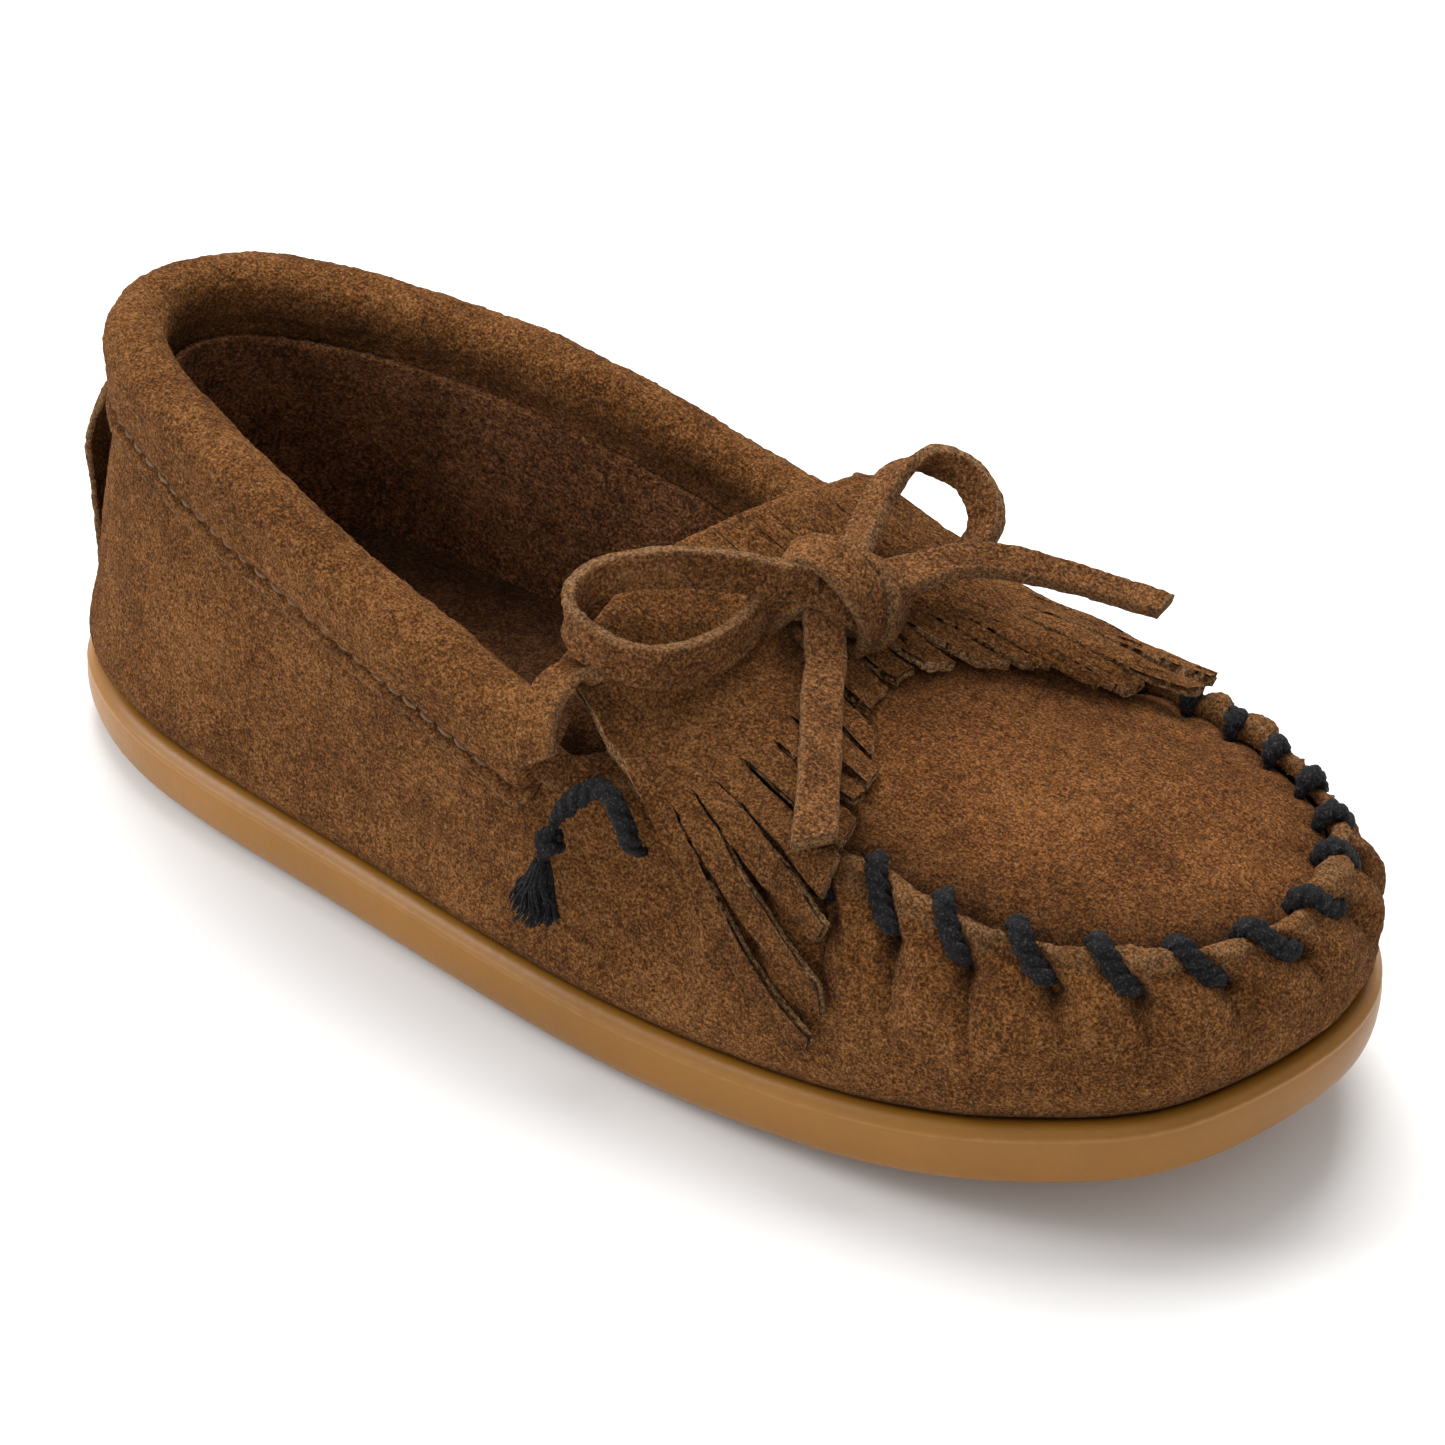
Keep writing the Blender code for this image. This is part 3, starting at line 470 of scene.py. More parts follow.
def suede(name, dark, mid, light, pale=(0.36, 0.20, 0.095), sheen=0.05, bump=1.0, size=1.0):
    """Napped leather: patches, brushed tufts and fine grain in three tones; raw cut edges turn pale."""
    m, ns, ln, b = material(name)
    p = attribute(ns, "rest").outputs["Vector"]
    patches = noise_node(ns, ln, p, 0.075 * size, 3, 0.55)
    tufts = noise_node(ns, ln, p, 0.42 * size, 4, 0.62, 0.4)
    grain = noise_node(ns, ln, p, 1.25 * size, 4, 0.72, 0.5)
    strands = noise_node(ns, ln, stretched(ns, ln, p, (0.75 * size, 3.4 * size, 2.0 * size)), 1.0, 3, 0.6, 0.8)
    fibre = noise_node(ns, ln, p, 2.3 * size, 3, 0.72, 0.3)
    value = maths(ns, ln, "MULTIPLY", patches, 0.16)
    value = maths(ns, ln, "ADD", value, maths(ns, ln, "MULTIPLY", tufts, 0.16))
    value = maths(ns, ln, "ADD", value, maths(ns, ln, "MULTIPLY", grain, 0.22))
    value = maths(ns, ln, "ADD", value, maths(ns, ln, "MULTIPLY", strands, 0.20))
    value = maths(ns, ln, "ADD", value, maths(ns, ln, "MULTIPLY", fibre, 0.26))
    color = ramp(ns, ln, value, [(0.435, dark), (0.50, mid), (0.565, light)])
    nap = ramp(ns, ln, fibre, [(0.37, (0.53, 0.53, 0.53)), (0.50, (0.97, 0.97, 0.97)), (0.63, (1.58, 1.55, 1.48))])
    color = mix(ns, ln, 1.0, color, nap, "MULTIPLY")
    speck = ramp(ns, ln, fibre, [(0.38, tuple(0.22 * c for c in pale)), (0.62, tuple(1.15 * c for c in pale))])
    color = mix(ns, ln, attribute(ns, "pale").outputs["Fac"], color, speck)
    # painted shade: the 'dark' attribute darkens the colour where a mesh marks creases, recesses and shaded sides
    shade = maths(ns, ln, "SUBTRACT", 1.0, maths(ns, ln, "MULTIPLY", attribute(ns, "dark").outputs["Fac"], 0.75), True)
    color = mix(ns, ln, 1.0, color, shade_color(ns, ln, shade), "MULTIPLY")
    ln.new(color, b.inputs["Base Color"])
    b.inputs["Roughness"].default_value = 1.0
    b.inputs["Specular IOR Level"].default_value = 0.05
    b.inputs["Sheen Weight"].default_value = sheen
    b.inputs["Sheen Roughness"].default_value = 0.45
    b.inputs["Sheen Tint"].default_value = (1.0, 0.78, 0.58, 1)
    height = maths(ns, ln, "ADD", maths(ns, ln, "MULTIPLY", grain, 0.50), maths(ns, ln, "MULTIPLY", strands, 0.45))
    height = maths(ns, ln, "ADD", height, maths(ns, ln, "MULTIPLY", tufts, 0.4))
    height = maths(ns, ln, "ADD", height, maths(ns, ln, "MULTIPLY", fibre, 0.75))
    bp = ns.new("ShaderNodeBump")
    bp.inputs["Strength"].default_value = bump
    bp.inputs["Distance"].default_value = 0.0009
    ln.new(height, bp.inputs["Height"])
    ln.new(bp.outputs["Normal"], b.inputs["Normal"])
    return m


def shade_color(ns, ln, value):
    n = ns.new("ShaderNodeCombineColor")
    for k in range(3):
        ln.new(value, n.inputs[k])
    return n.outputs[0]


SUEDE = suede("suede_nap", (0.078, 0.0285, 0.0083), (0.170, 0.065, 0.0170), (0.278, 0.122, 0.040), size=1.25)
SUEDE_RED = suede("suede_plug_nap", (0.082, 0.0280, 0.0080), (0.180, 0.065, 0.0170), (0.290, 0.119, 0.038), size=1.3)
SUEDE_RAW = suede("suede_cut_edge", (0.150, 0.068, 0.026), (0.320, 0.165, 0.070), (0.48, 0.28, 0.140), size=1.2)
SUEDE_IN = suede("suede_lining_nap", (0.070, 0.027, 0.011), (0.205, 0.081, 0.031), (0.345, 0.150, 0.062), size=1.0)
# painted shade: the sock liner's colour is darkened to stand for the shade inside the shoe
LINER = suede("sock_liner_nap_painted_shade", (0.032, 0.0120, 0.0048), (0.064, 0.025, 0.0095), (0.106, 0.045, 0.018), size=1.1, bump=0.6)
THONG = suede("thong_nap", (0.082, 0.031, 0.0100), (0.172, 0.069, 0.0225), (0.280, 0.126, 0.046), pale=(0.36, 0.195, 0.090), size=1.15)


def gum_rubber():
    """Amber gum rubber: satin, slightly translucent, with painted shade, darker and more orange, in the channel by the
    upper.
    """
    m, ns, ln, b = material("gum_rubber_satin")
    p = attribute(ns, "rest").outputs["Vector"]
    cloud = noise_node(ns, ln, p, 0.035, 3, 0.5)
    fine = noise_node(ns, ln, p, 1.6, 3, 0.6)
    color = ramp(ns, ln, cloud, [(0.3, (0.248, 0.106, 0.0120)), (0.7, (0.325, 0.138, 0.0160))])
    color = mix(ns, ln, maths(ns, ln, "MULTIPLY", fine, 0.25), color, (0.170, 0.074, 0.0110))
    # painted shade in the channel by the upper
    color = mix(ns, ln, maths(ns, ln, "MULTIPLY", attribute(ns, "dark").outputs["Fac"], 0.8, True), color, (0.22, 0.078, 0.006))
    # pale moulding line on the sole, partly a painted highlight line
    color = mix(ns, ln, maths(ns, ln, "MULTIPLY", attribute(ns, "pale").outputs["Fac"], 0.7, True), color, (0.44, 0.26, 0.10))
    ln.new(color, b.inputs["Base Color"])
    rough = maths(ns, ln, "ADD", 0.30, maths(ns, ln, "MULTIPLY", fine, 0.16))
    ln.new(rough, b.inputs["Roughness"])
    b.inputs["Specular IOR Level"].default_value = 0.33
    b.inputs["Subsurface Weight"].default_value = 0.18
    b.inputs["Subsurface Radius"].default_value = (0.0035, 0.0018, 0.0006)
    b.inputs["Subsurface Scale"].default_value = 1.0
    bp = ns.new("ShaderNodeBump")
    bp.inputs["Strength"].default_value = 0.35
    bp.inputs["Distance"].default_value = 0.00012
    ln.new(maths(ns, ln, "ADD", fine, maths(ns, ln, "MULTIPLY", cloud, 2.0)), bp.inputs["Height"])
    ln.new(bp.outputs["Normal"], b.inputs["Normal"])
    return m


def waxed_cord():
    """Charcoal waxed cord with a slight blue cast and lint caught in the twist."""
    m, ns, ln, b = material("waxed_cord_charcoal")
    p = attribute(ns, "rest").outputs["Vector"]
    fine = noise_node(ns, ln, p, 3.2, 4, 0.7)
    color = ramp(ns, ln, fine, [(0.42, (0.0030, 0.0026, 0.0030)), (0.55, (0.0090, 0.0080, 0.0090)), (0.68, (0.070, 0.062, 0.062))])
    # painted shade: the 'dark' attribute darkens the ply valleys; on the tassel's loose strands it gives random tone
    shade = maths(ns, ln, "SUBTRACT", 1.0, maths(ns, ln, "MULTIPLY", attribute(ns, "dark").outputs["Fac"], 0.7), True)
    color = mix(ns, ln, 1.0, color, shade_color(ns, ln, shade), "MULTIPLY")
    ln.new(color, b.inputs["Base Color"])
    b.inputs["Roughness"].default_value = 0.75
    b.inputs["Specular IOR Level"].default_value = 0.16
    b.inputs["Sheen Weight"].default_value = 0.02
    bp = ns.new("ShaderNodeBump")
    bp.inputs["Strength"].default_value = 0.8
    bp.inputs["Distance"].default_value = 0.0002
    ln.new(fine, bp.inputs["Height"])
    ln.new(bp.outputs["Normal"], b.inputs["Normal"])
    return m


def plain_weave(name, a, b_color, rough=0.85):
    m, ns, ln, b = material(name)
    p = ns.new("ShaderNodeTexCoord").outputs["Object"]
    n = noise_node(ns, ln, p, 900.0, 4, 0.6)
    ln.new(ramp(ns, ln, n, [(0.35, a), (0.65, b_color)]), b.inputs["Base Color"])
    b.inputs["Roughness"].default_value = rough
    bp = ns.new("ShaderNodeBump")
    bp.inputs["Strength"].default_value = 0.4
    bp.inputs["Distance"].default_value = 0.0002
    ln.new(n, bp.inputs["Height"])
    ln.new(bp.outputs["Normal"], b.inputs["Normal"])
    return m


GUM = gum_rubber()
WAX = waxed_cord()
BOARD = plain_weave("fibre_board_pressed", (0.26, 0.17, 0.10), (0.36, 0.26, 0.16))
TAN_THREAD = plain_weave("tan_thread", (0.090, 0.042, 0.016), (0.190, 0.100, 0.042), 0.8)
HIDDEN_THONG = plain_weave("thong_hidden", (0.12, 0.055, 0.025), (0.24, 0.12, 0.06), 0.95)

# ------------------------------------------------------------------ seam: where the cords cross it

_st = np.linspace(4.8, 15.2, 4000)
_sp = edge(_st)
_ss = np.r_[0, np.cumsum(np.linalg.norm(np.diff(_sp, axis=0), axis=1))]
PLACES = np.array(stitch_places())
CORD_S = np.interp(PLACES, _st, _ss)
LEAN = np.where(PLACES < HALF + 0.3, 0.93, 0.55)
FOLD = 0.75 + 0.5 * rand(len(PLACES), 5)


def seam_s(t):
    return np.interp(t, _st, _ss)


def seam_t(s):
    return np.interp(s, _ss, _st)


def cord_gap(t, shift):
    """Distance along the seam to the nearest cord, which leans by shift there."""
    d = seam_s(t)[:, None] - (CORD_S + shift * LEAN)[None]
    k = np.abs(d).argmin(1)
    return d[np.arange(len(k)), k]


def tab(t, shift):
    """0 at the cords and 1 halfway between two of them, with one tab more past the first and the last."""
    s = seam_s(t)
    c = CORD_S + shift * LEAN
    c = np.r_[c[0] - 9.0, c, c[-1] + 9.0]
    i = np.clip(np.searchsorted(c, s) - 1, 0, len(c) - 2)
    f = np.clip((s - c[i]) / (c[i + 1] - c[i]), 0, 1)
    return np.sin(np.pi * f), FOLD[np.clip(i - 1, 0, len(FOLD) - 1)]


def even_rows(curve, t0, t1, n, closed=False):
    """Parameters at even steps of length along curve."""
    t = np.linspace(t0, t1, 4000)
    p = curve(t)
    s = np.r_[0, np.cumsum(np.linalg.norm(np.diff(p, axis=0), axis=1))]
    return np.interp(np.linspace(0, s[-1], n + 1 if closed else n)[:n], s, t)


# ------------------------------------------------------------------ vamp


def toe_part(t):
    return smooth((4.90 - np.abs(np.asarray(t) - HALF)) / 0.35)


def folds(t, u):
    """How far the gathered wall stands out below the toe seam."""
    u = np.broadcast_to(np.asarray(u, float), t.shape)
    shift = np.where(u > 0.8, 3.6 - (u - 0.8) / 0.2 * 4.3, 3.6 + (0.8 - u) * 2.5)
    s = seam_s(t)[:, None] - (CORD_S[None] + shift[:, None] * LEAN[None])
    c = CORD_S[None] + shift[:, None] * LEAN[None]
    i = np.clip((s > 0).sum(1) - 1, 0, len(CORD_S) - 2)
    rows = np.arange(len(t))
    f = np.clip(s[rows, i] / (c[rows, i + 1] - c[rows, i]), 0, 1)
    depth = smooth((u - 0.02) / 0.80) ** 1.15
    belly = np.sin(np.pi * f) ** 0.62
    side = 0.22 * np.sin(2 * np.pi * f * 2 + 3.0 * FOLD[i]) * np.sin(np.pi * f)
    return toe_part(t) * depth * FOLD[i] * (2.55 * belly + side - 1.25)


def vamp():
    nt = 1900 if FULL else 420
    tt = even_rows(lambda t: wall(t, 0.6), 0, 20, nt, True)
    toe = toe_part(tt)[:, None]
    ns, nv = outward(sole, tt), outward(edge, tt)
    s0 = sole(tt)
    e = edge(tt)
    ring = smooth((np.abs(tt - HALF) - 5.0) / -2.0)         # the wall stands a little further in round the toe
    rows, pale, dark = [], [], []

    def low(inset, h):
        xy = s0[:, :2] - ns * (inset - 1.25 * ring[:, None] - 1.6 * (1 - ring[:, None]))
        return np.c_[xy, h + spring(xy[:, 0])]

    for inset, h in ((6.4, 10.05), (4.6, 10.15), (3.6, 10.5), (3.0, 11.3), (2.7, 12.2)):
        rows.append(low(inset, h))
        pale.append(np.zeros(nt))
        # painted shade: darker towards the sole, where the wall tucks in above it
        dark.append(np.full(nt, 0.75 * (12.6 - h) / 2.0).clip(0, 0.9))
    nu = 80 if FULL else 22
    us = np.linspace(0.0, 0.97, nu)
    for u in us:
        off = folds(tt, u) + (1.6 - 0.35 * ring) * math.exp(-(u / 0.18) ** 2)
        p = wall(tt, u)
        n = ns * (1 - u) + nv * u
        n /= np.linalg.norm(n, axis=1)[:, None]
        p[:, :2] += n * off[:, None]
        near = np.exp(-(cord_gap(tt, 3.6) / 1.3) ** 2) * np.exp(-((u - 0.80) / 0.07) ** 2) * toe[:, 0]
        p[:, :2] -= n * (0.9 * near)[:, None]
        rows.append(p)
        rag = noise(p, 1.2, 31) * 0.5 + noise(p, 3.0, 32) * 0.5
        pale.append(toe[:, 0] * (0.10 + 0.50 * smooth(0.5 + 1.3 * noise(p, 0.7, 33))) * smooth((u - 0.935 + 0.04 * rag) / 0.03))
        groove = np.exp(-(cord_gap(tt, 3.6 + (0.8 - u) * 2.5) / 1.1) ** 2) * smooth((u - 0.35) / 0.5) * toe[:, 0]
        # painted shade in the pucker grooves below the cords and where the cords sink into the wall
        dark.append(0.50 * groove + 0.8 * near)
    # over the top: a bulging cut edge at the toe, a plain one under the cuff
    bulge, size = tab(tt, -0.9)
    lift = toe[:, 0] * (0.05 + 1.45 * bulge ** 0.8 * size + 0.15 * noise(e, 1.1, 41) + 0.18 * noise(e, 2.7, 42))
    top = folds(tt, 0.97)
    for n_toe, z_toe, n_col, z_col, pl in ((0.30, 0.35, 0.0, 0.0, 0.85), (0.30, 0.80, -0.2, 0.2, 0.95), (0.08, 1.15, -0.5, 0.32, 1.0), (-0.2, 1.38, -0.8, 0.35, 1.0),
                                           (-0.55, 1.46, -1.0, 0.33, 1.0), (-0.95, 1.40, -1.2, 0.28, 0.95), (-1.3, 1.15, -1.35, 0.2, 0.8), (-1.6, 0.65, -1.5, 0.05, 0.5),
                                           (-1.75, -0.2, -1.6, -0.1, 0.2), (-1.8, -1.2, -1.6, -0.8, 0)):
        n_off = toe[:, 0] * (n_toe + top * np.clip(1 + n_toe / 2.2, 0, 1)) + (1 - toe[:, 0]) * n_col
        z = toe[:, 0] * z_toe * (0.25 + 0.75 * lift / 1.3) + (1 - toe[:, 0]) * z_col
        if z_toe < 0:
            z = toe[:, 0] * z_toe + (1 - toe[:, 0]) * z_col
        rows.append(np.c_[e[:, :2] + nv * n_off[:, None], e[:, 2] + z])
        pale.append(toe[:, 0] * pl * (0.10 + 0.42 * bulge) * (0.30 + 0.90 * smooth(0.5 + 1.4 * noise(rows[-1], 0.8, 34))))
        # painted shade where the cords pinch the top edge
        dark.append(0.5 * toe[:, 0] * np.exp(-(cord_gap(tt, -0.9) / 0.9) ** 2))
    inner = 24 if FULL else 10
    for u in np.linspace(0.94, 0.0, inner):
        p = wall(tt, u)
        n = ns * (1 - u) + nv * u
        n /= np.linalg.norm(n, axis=1)[:, None]
        p[:, :2] -= n * (1.6 + 0.3 * toe)
        rows.append(p)
        pale.append(np.zeros(nt))
        # painted shade on the inside face of the wall
        dark.append(np.full(nt, 0.35))
    for inset, h in ((5.0, 12.1), (7.5, 11.6)):
        rows.append(low(inset, h))
        pale.append(np.zeros(nt))
        # painted shade on the inner tuck above the sole
        dark.append(np.full(nt, 0.5))
    p = np.stack(rows, 1)
    n = grid_normals(p, True, True)
    if ((p[:, 20] - p.mean((0, 1))) * n[:, 20]).sum() < 0:
        n = -n
    amount = np.ones(p.shape[1])
    amount[:4] = 0.2
    soft = noise(p, (14.0, 14.0, 22.0), 60) * 0.28 + noise(p, (5.5, 5.5, 26.0), 61) * 0.42 * toe
    amount[len(us) + 5:len(us) + 15] = 1.7
    p = p + n * (fuzz(p, 1.0, 11) * amount[None] + soft * amount[None])[..., None]
    v, faces = p.reshape(-1, 3), grid_faces(*p.shape[:2], True, True)
    obj = new_mesh("vamp_suede", v, faces, SUEDE, {"pale": np.stack(pale, 1), "dark": np.stack(dark, 1)})
    return ride_all(obj, "shoe", "suede", "vamp")


vamp()

# ------------------------------------------------------------------ plug


def plug():
    """Domed apron, drawn on rays from a spine so that it stays even round the toe."""
    nt = 760 if FULL else 240
    nr = 110 if FULL else 36
    tt = even_rows(edge, 5.02, HALF, nt // 2)
    tt = np.r_[tt, 2 * HALF - tt[-2::-1]]
    nt = len(tt)
    e = edge(tt)
    nv = outward(edge, tt)
    rim = e[:, :2] - nv * 1.45
    other = edge(20 - tt)
    mid = (e[:, :2] + other[:, :2]) / 2
    spine_x = np.minimum(mid[:, 0], 148 + 0.25 * (mid[:, 0] - 148))
    spine_y = np.interp(spine_x, _near[:, 0], (_near[:, 1] + _far[:, 1]) / 2)
    hub = np.c_[spine_x, spine_y]
    r = np.linspace(0, 1, nr) ** 0.9
    xy = hub[:, None] + (rim - hub)[:, None] * r[None, :, None]
    x, y = xy[..., 0], xy[..., 1]
    yn, yf = np.interp(x, _near[:, 0], _near[:, 1]), np.interp(x, _far[:, 0], _far[:, 1])
    zn, zf = np.interp(x, _near[:, 0], _near[:, 2]), np.interp(x, _far[:, 0], _far[:, 2])
    w = np.clip(np.abs(2 * y - yn - yf) / (yf - yn), 0, 1)
    z = (zn + zf) / 2 + (yn + yf - 2 * y) / (yf - yn) * (zn - zf) / 2 + np.interp(x, CROWN_X, CROWN_Z) * (1 - w ** 2.2) - 0.25
    away = np.linalg.norm(xy - rim[:, None], axis=2)
    bulge, _ = tab(tt, -2.6)
    pinch = 1 - bulge
    z = z - 0.95 * np.exp(-(away / 2.4) ** 2) + 0.35 * bulge[:, None] * np.exp(-((away - 1.0) / 1.6) ** 2)
    z = z - 0.45 * pinch[:, None] * np.exp(-((away - 2.2) / 2.0) ** 2)
    p = np.dstack([x, y, z])
    n = grid_normals(p)
    n *= np.sign(n[..., 2].sum())
    flat = smooth((r - 0.06) / 0.1)[None, :, None]
    n = n * flat + np.array([0.0, 0.0, 1.0]) * (1 - flat)
    n /= np.linalg.norm(n, axis=2, keepdims=True)
    up = p + n * (fuzz(p, 0.8, 21) + 0.25 * noise(p, (16, 12, 12), 64))[..., None]
    down = p - np.array([0, 0, 1.4])
    pts = np.concatenate([up, down[:, ::-1]], 1)
    # painted shade: darker in the trough along the seam, over the near (outer) side and on the underside
    near = smooth((-(2 * y - yn - yf) / (yf - yn) + 0.1) / 0.9)
    dark = np.clip(0.55 * np.exp(-(away / 1.6) ** 2) + 0.66 * near * np.exp(-(away / 7.5) ** 2), 0, 0.9)
    dark = np.concatenate([dark, np.full(away.shape, 0.4)], 1)
    v = pts.reshape(-1, 3)
    k, m = pts.shape[:2]
    faces = grid_faces(k, m, False, True)
    # the two sides meet on the spine and share their points there
    share = np.arange(len(v))
    for col in (0, m - 1):
        share[np.arange(k) * m + col] = np.minimum(np.arange(k), k - 1 - np.arange(k)) * m + col
    faces = share[faces]
    used = np.unique(faces)
    index = np.zeros(len(v), int)
    index[used] = np.arange(len(used))
    obj = new_mesh("plug_suede", v[used], index[faces], SUEDE_RED, {"dark": dark.ravel()[used]})
    return ride_all(obj, "shoe", "suede_plug", "plug")


plug()

# ------------------------------------------------------------------ outsole


RIM = [(8.0, NUB), (5.0, NUB), (3.4, NUB + 0.02), (2.2, NUB + 0.12), (1.3, NUB + 0.5), (0.65, NUB + 1.2), (0.28, 3.4), (0.08, 4.6), (0.0, 5.8), (0.02, 6.8), (0.12, 7.7),
       (0.22, 8.25), (0.12, 8.45), (0.14, 8.7), (0.42, 8.95), (0.85, 9.45), (1.4, 9.85), (2.0, 10.02), (2.6, 9.98), (3.2, 9.8), (3.9, 9.62), (5.0, 9.55), (8.0, 9.5)]


def outsole():
    nt = 460 if FULL else 160
    rim = even(np.array([(i, h, 0.0) for i, h in open_spline(np.array(RIM), 400)]), 0.28 if FULL else 0.7)[:, :2]
    tt = even_rows(sole, 0, HALF, nt)
    sides = []
    for t in (tt, 2 * HALF - tt):
        n, p = outward(sole, t), sole(t)
        q = p[:, None, :] - n[:, None, :] * rim[None, :, :1]
        z = rim[None, :, 1] + spring(q[..., 0])
        sides.append(np.dstack([q, z[..., None]]))
    near, far = sides
    across = 10
    k = np.arange(1, across) / across
    top = near[:, -1:] + (far[:, -1:] - near[:, -1:]) * k[None, :, None]
    top[..., 2] = rim[-1, 1] + spring(top[..., 0])
    bottom = far[:, :1] + (near[:, :1] - far[:, :1]) * k[None, :, None]
    bottom[..., 2] = rim[0, 1] + spring(bottom[..., 0])
    p = np.concatenate([near, top, far[:, ::-1], bottom], 1)
    # painted shade: on the ledge by the upper, and in full on the top under it
    dark_rim = smooth((rim[:, 0] - 2.0) / 1.4) * (rim[:, 1] > 6)
    # pale moulding line along the step near the top of the side, also a painted highlight line
    pale_rim = 0.35 * np.exp(-((rim[:, 1] - 8.55) / 0.3) ** 2) * (rim[:, 0] < 1)
    zero = np.zeros(across - 1)
    dark = np.tile(np.r_[dark_rim, zero + 1, dark_rim[::-1], zero], (nt, 1))
    pale = np.tile(np.r_[pale_rim, zero, pale_rim[::-1], zero], (nt, 1))
    pale = pale * (0.4 + 0.6 * smooth(0.5 + noise(p, 1.1, 71)))
    wave = 0.06 * noise(p, 9.0, 72) + 0.02 * noise(p, 1.4, 73)
    centre = np.array([90.0, 0.0, 5.5])
    n = p - centre
    n[..., 0] = np.where(np.abs(p[..., 0] - 92) > 70, np.sign(n[..., 0]) * 20, 0)
    n[..., 2] *= 0.3
    n /= np.linalg.norm(n, axis=2, keepdims=True)
    p = p + n * wave[..., None] * (p[..., 2:3] > NUB + 0.4)
    obj = new_mesh("outsole_gum", p.reshape(-1, 3), grid_faces(*p.shape[:2], False, True), GUM, {"dark": dark, "pale": pale})
    return ride_all(obj, "shoe", "gum_rubber", "outsole")


def stud(x, y, z0, rx, ry, height, sides):
    """Closed round stud standing down from the sole, its lower rim rounded."""
    a = 2 * math.pi * (np.arange(sides) + 0.5) / sides
    rings = []
    for r, h in ((1.22, height + 0.6), (1.10, height), (1.0, 0.35), (0.93, 0.1), (0.8, 0.0), (0.0, 0.0)):
        r = max(r, 0.02)
        rings.append(np.stack([x + rx * r * np.cos(a), y + ry * r * np.sin(a), np.full(sides, z0 + h)], 1))
    return sweep(np.array(rings))


def studs():
    rim = sole(np.linspace(0, HALF, 200)), sole(np.linspace(2 * HALF, HALF, 200))
    verts, faces, base = [], [[], []], 0
    places = [(WAIST_PAD[0], WAIST_PAD[1], 14.0, 16.0, 64)]
    for x0, x1 in ((12, 50), (104, 172)):
        for row, x in enumerate(np.arange(x0, x1, 9.5)):
            for y in np.arange(-27.0 if row % 2 else -32.0, 36, 10.0):
                lo, hi = (np.interp(x, side[:, 0], side[:, 1]) for side in rim)
                if lo + 7.5 < y < hi - 7.5:
                    places.append((x, y, 1.8, 1.8, 20))
    for x, y, rx, ry, sides in places:
        v, f = stud(x, y, float(spring(x)), rx, ry, NUB, sides)
        for k in (0, 1):
            faces[k].append(f[k] + base)
        verts.append(v)
        base += len(v)
    obj = new_mesh("tread_studs", np.vstack(verts), [np.vstack(faces[0]), np.vstack(faces[1])], GUM)
    return ride_all(obj, "shoe", "gum_rubber")


outsole()
studs()

# ------------------------------------------------------------------ inside: sock liner and lining


def sock_liner():
    nt = 300 if FULL else 120
    rim = np.array([(7.0, 13.5), (6.4, 14.2), (6.0, 15.4), (6.1, 16.2), (6.8, 16.5), (8.0, 16.45), (11.0, 16.35)])
    tt = even_rows(sole, 0, HALF, nt)
    near, far = (sole(t)[:, None, :] - outward(sole, t)[:, None, :] * rim[None, :, :1] for t in (tt, 2 * HALF - tt))
    near, far = (np.dstack([q, (rim[None, :, 1] + spring(q[..., 0]))[..., None]]) for q in (near, far))
    across = 70 if FULL else 24
    k = np.arange(1, across) / across
    top = near[:, -1:] + (far[:, -1:] - near[:, -1:]) * k[None, :, None]
    top[..., 2] = rim[-1, 1] + spring(top[..., 0])
    bottom = (far[:, :1] + (near[:, :1] - far[:, :1]) * k[None, ::8, None])
    bottom[..., 2] = rim[0, 1] + spring(bottom[..., 0])
    p = np.concatenate([near, top, far[:, ::-1], bottom], 1)
    lift = (p[..., 2] > 14.5) * (0.16 * noise(p, 1.3, 81) * 0.5 + 0.25 * noise(p, 15, 82))
    p[..., 2] += lift
    obj = new_mesh("sock_liner_suede", p.reshape(-1, 3), grid_faces(*p.shape[:2], False, True), LINER)
    return ride_all(obj, "shoe", "lining", "sock_liner")


def lining():
    nt, nz = (420, 60) if FULL else (140, 24)
    tt = np.linspace(-4.85, 4.85, nt)
    top = ridge(tt)[:, 2] - 9.5
    rows = []
    inner = 2.75 + 1.45 * smooth((3.2 - np.abs(tt)) / 1.6)
    for k in np.linspace(0, 1, nz):
        rows.append(wall_at(tt, 15.4 + (top - 15.4) * k, 0.0))
    p = np.stack(rows, 1)
    n = np.stack([outward(edge, tt)] * nz, 1)
    inset = (1.8 + inner)[:, None, None]
    face = p.copy()
    face[..., :2] -= n * inset
    back = p.copy()
    back[..., :2] -= n * (inset - 1.0)
    pts = np.concatenate([face, back[:, ::-1]], 1)
    nn = grid_normals(pts, False, True)
    pts = pts + nn * fuzz(pts, 1.1, 85)[..., None] * 0.9
    k, m = pts.shape[:2]
    v = np.vstack([pts.reshape(-1, 3), pts[0].mean(0)[None], pts[-1].mean(0)[None]])
    j = np.arange(m)
    ends = np.vstack([np.stack([np.full(m, k * m), (j + 1) % m, j], 1), np.stack([np.full(m, k * m + 1), (k - 1) * m + j, (k - 1) * m + (j + 1) % m], 1)])
    obj = new_mesh("collar_lining_suede", v, [grid_faces(k, m, False, True), ends], SUEDE_IN)
    return ride_all(obj, "shoe", "lining", "heel_lining")


sock_liner()
lining()
for hidden, m in (("heel_counter", BOARD), ("insole_board", BOARD), ("lace_collar_run", HIDDEN_THONG)):
    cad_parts[hidden].data.materials.clear()
    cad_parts[hidden].data.materials.append(m)

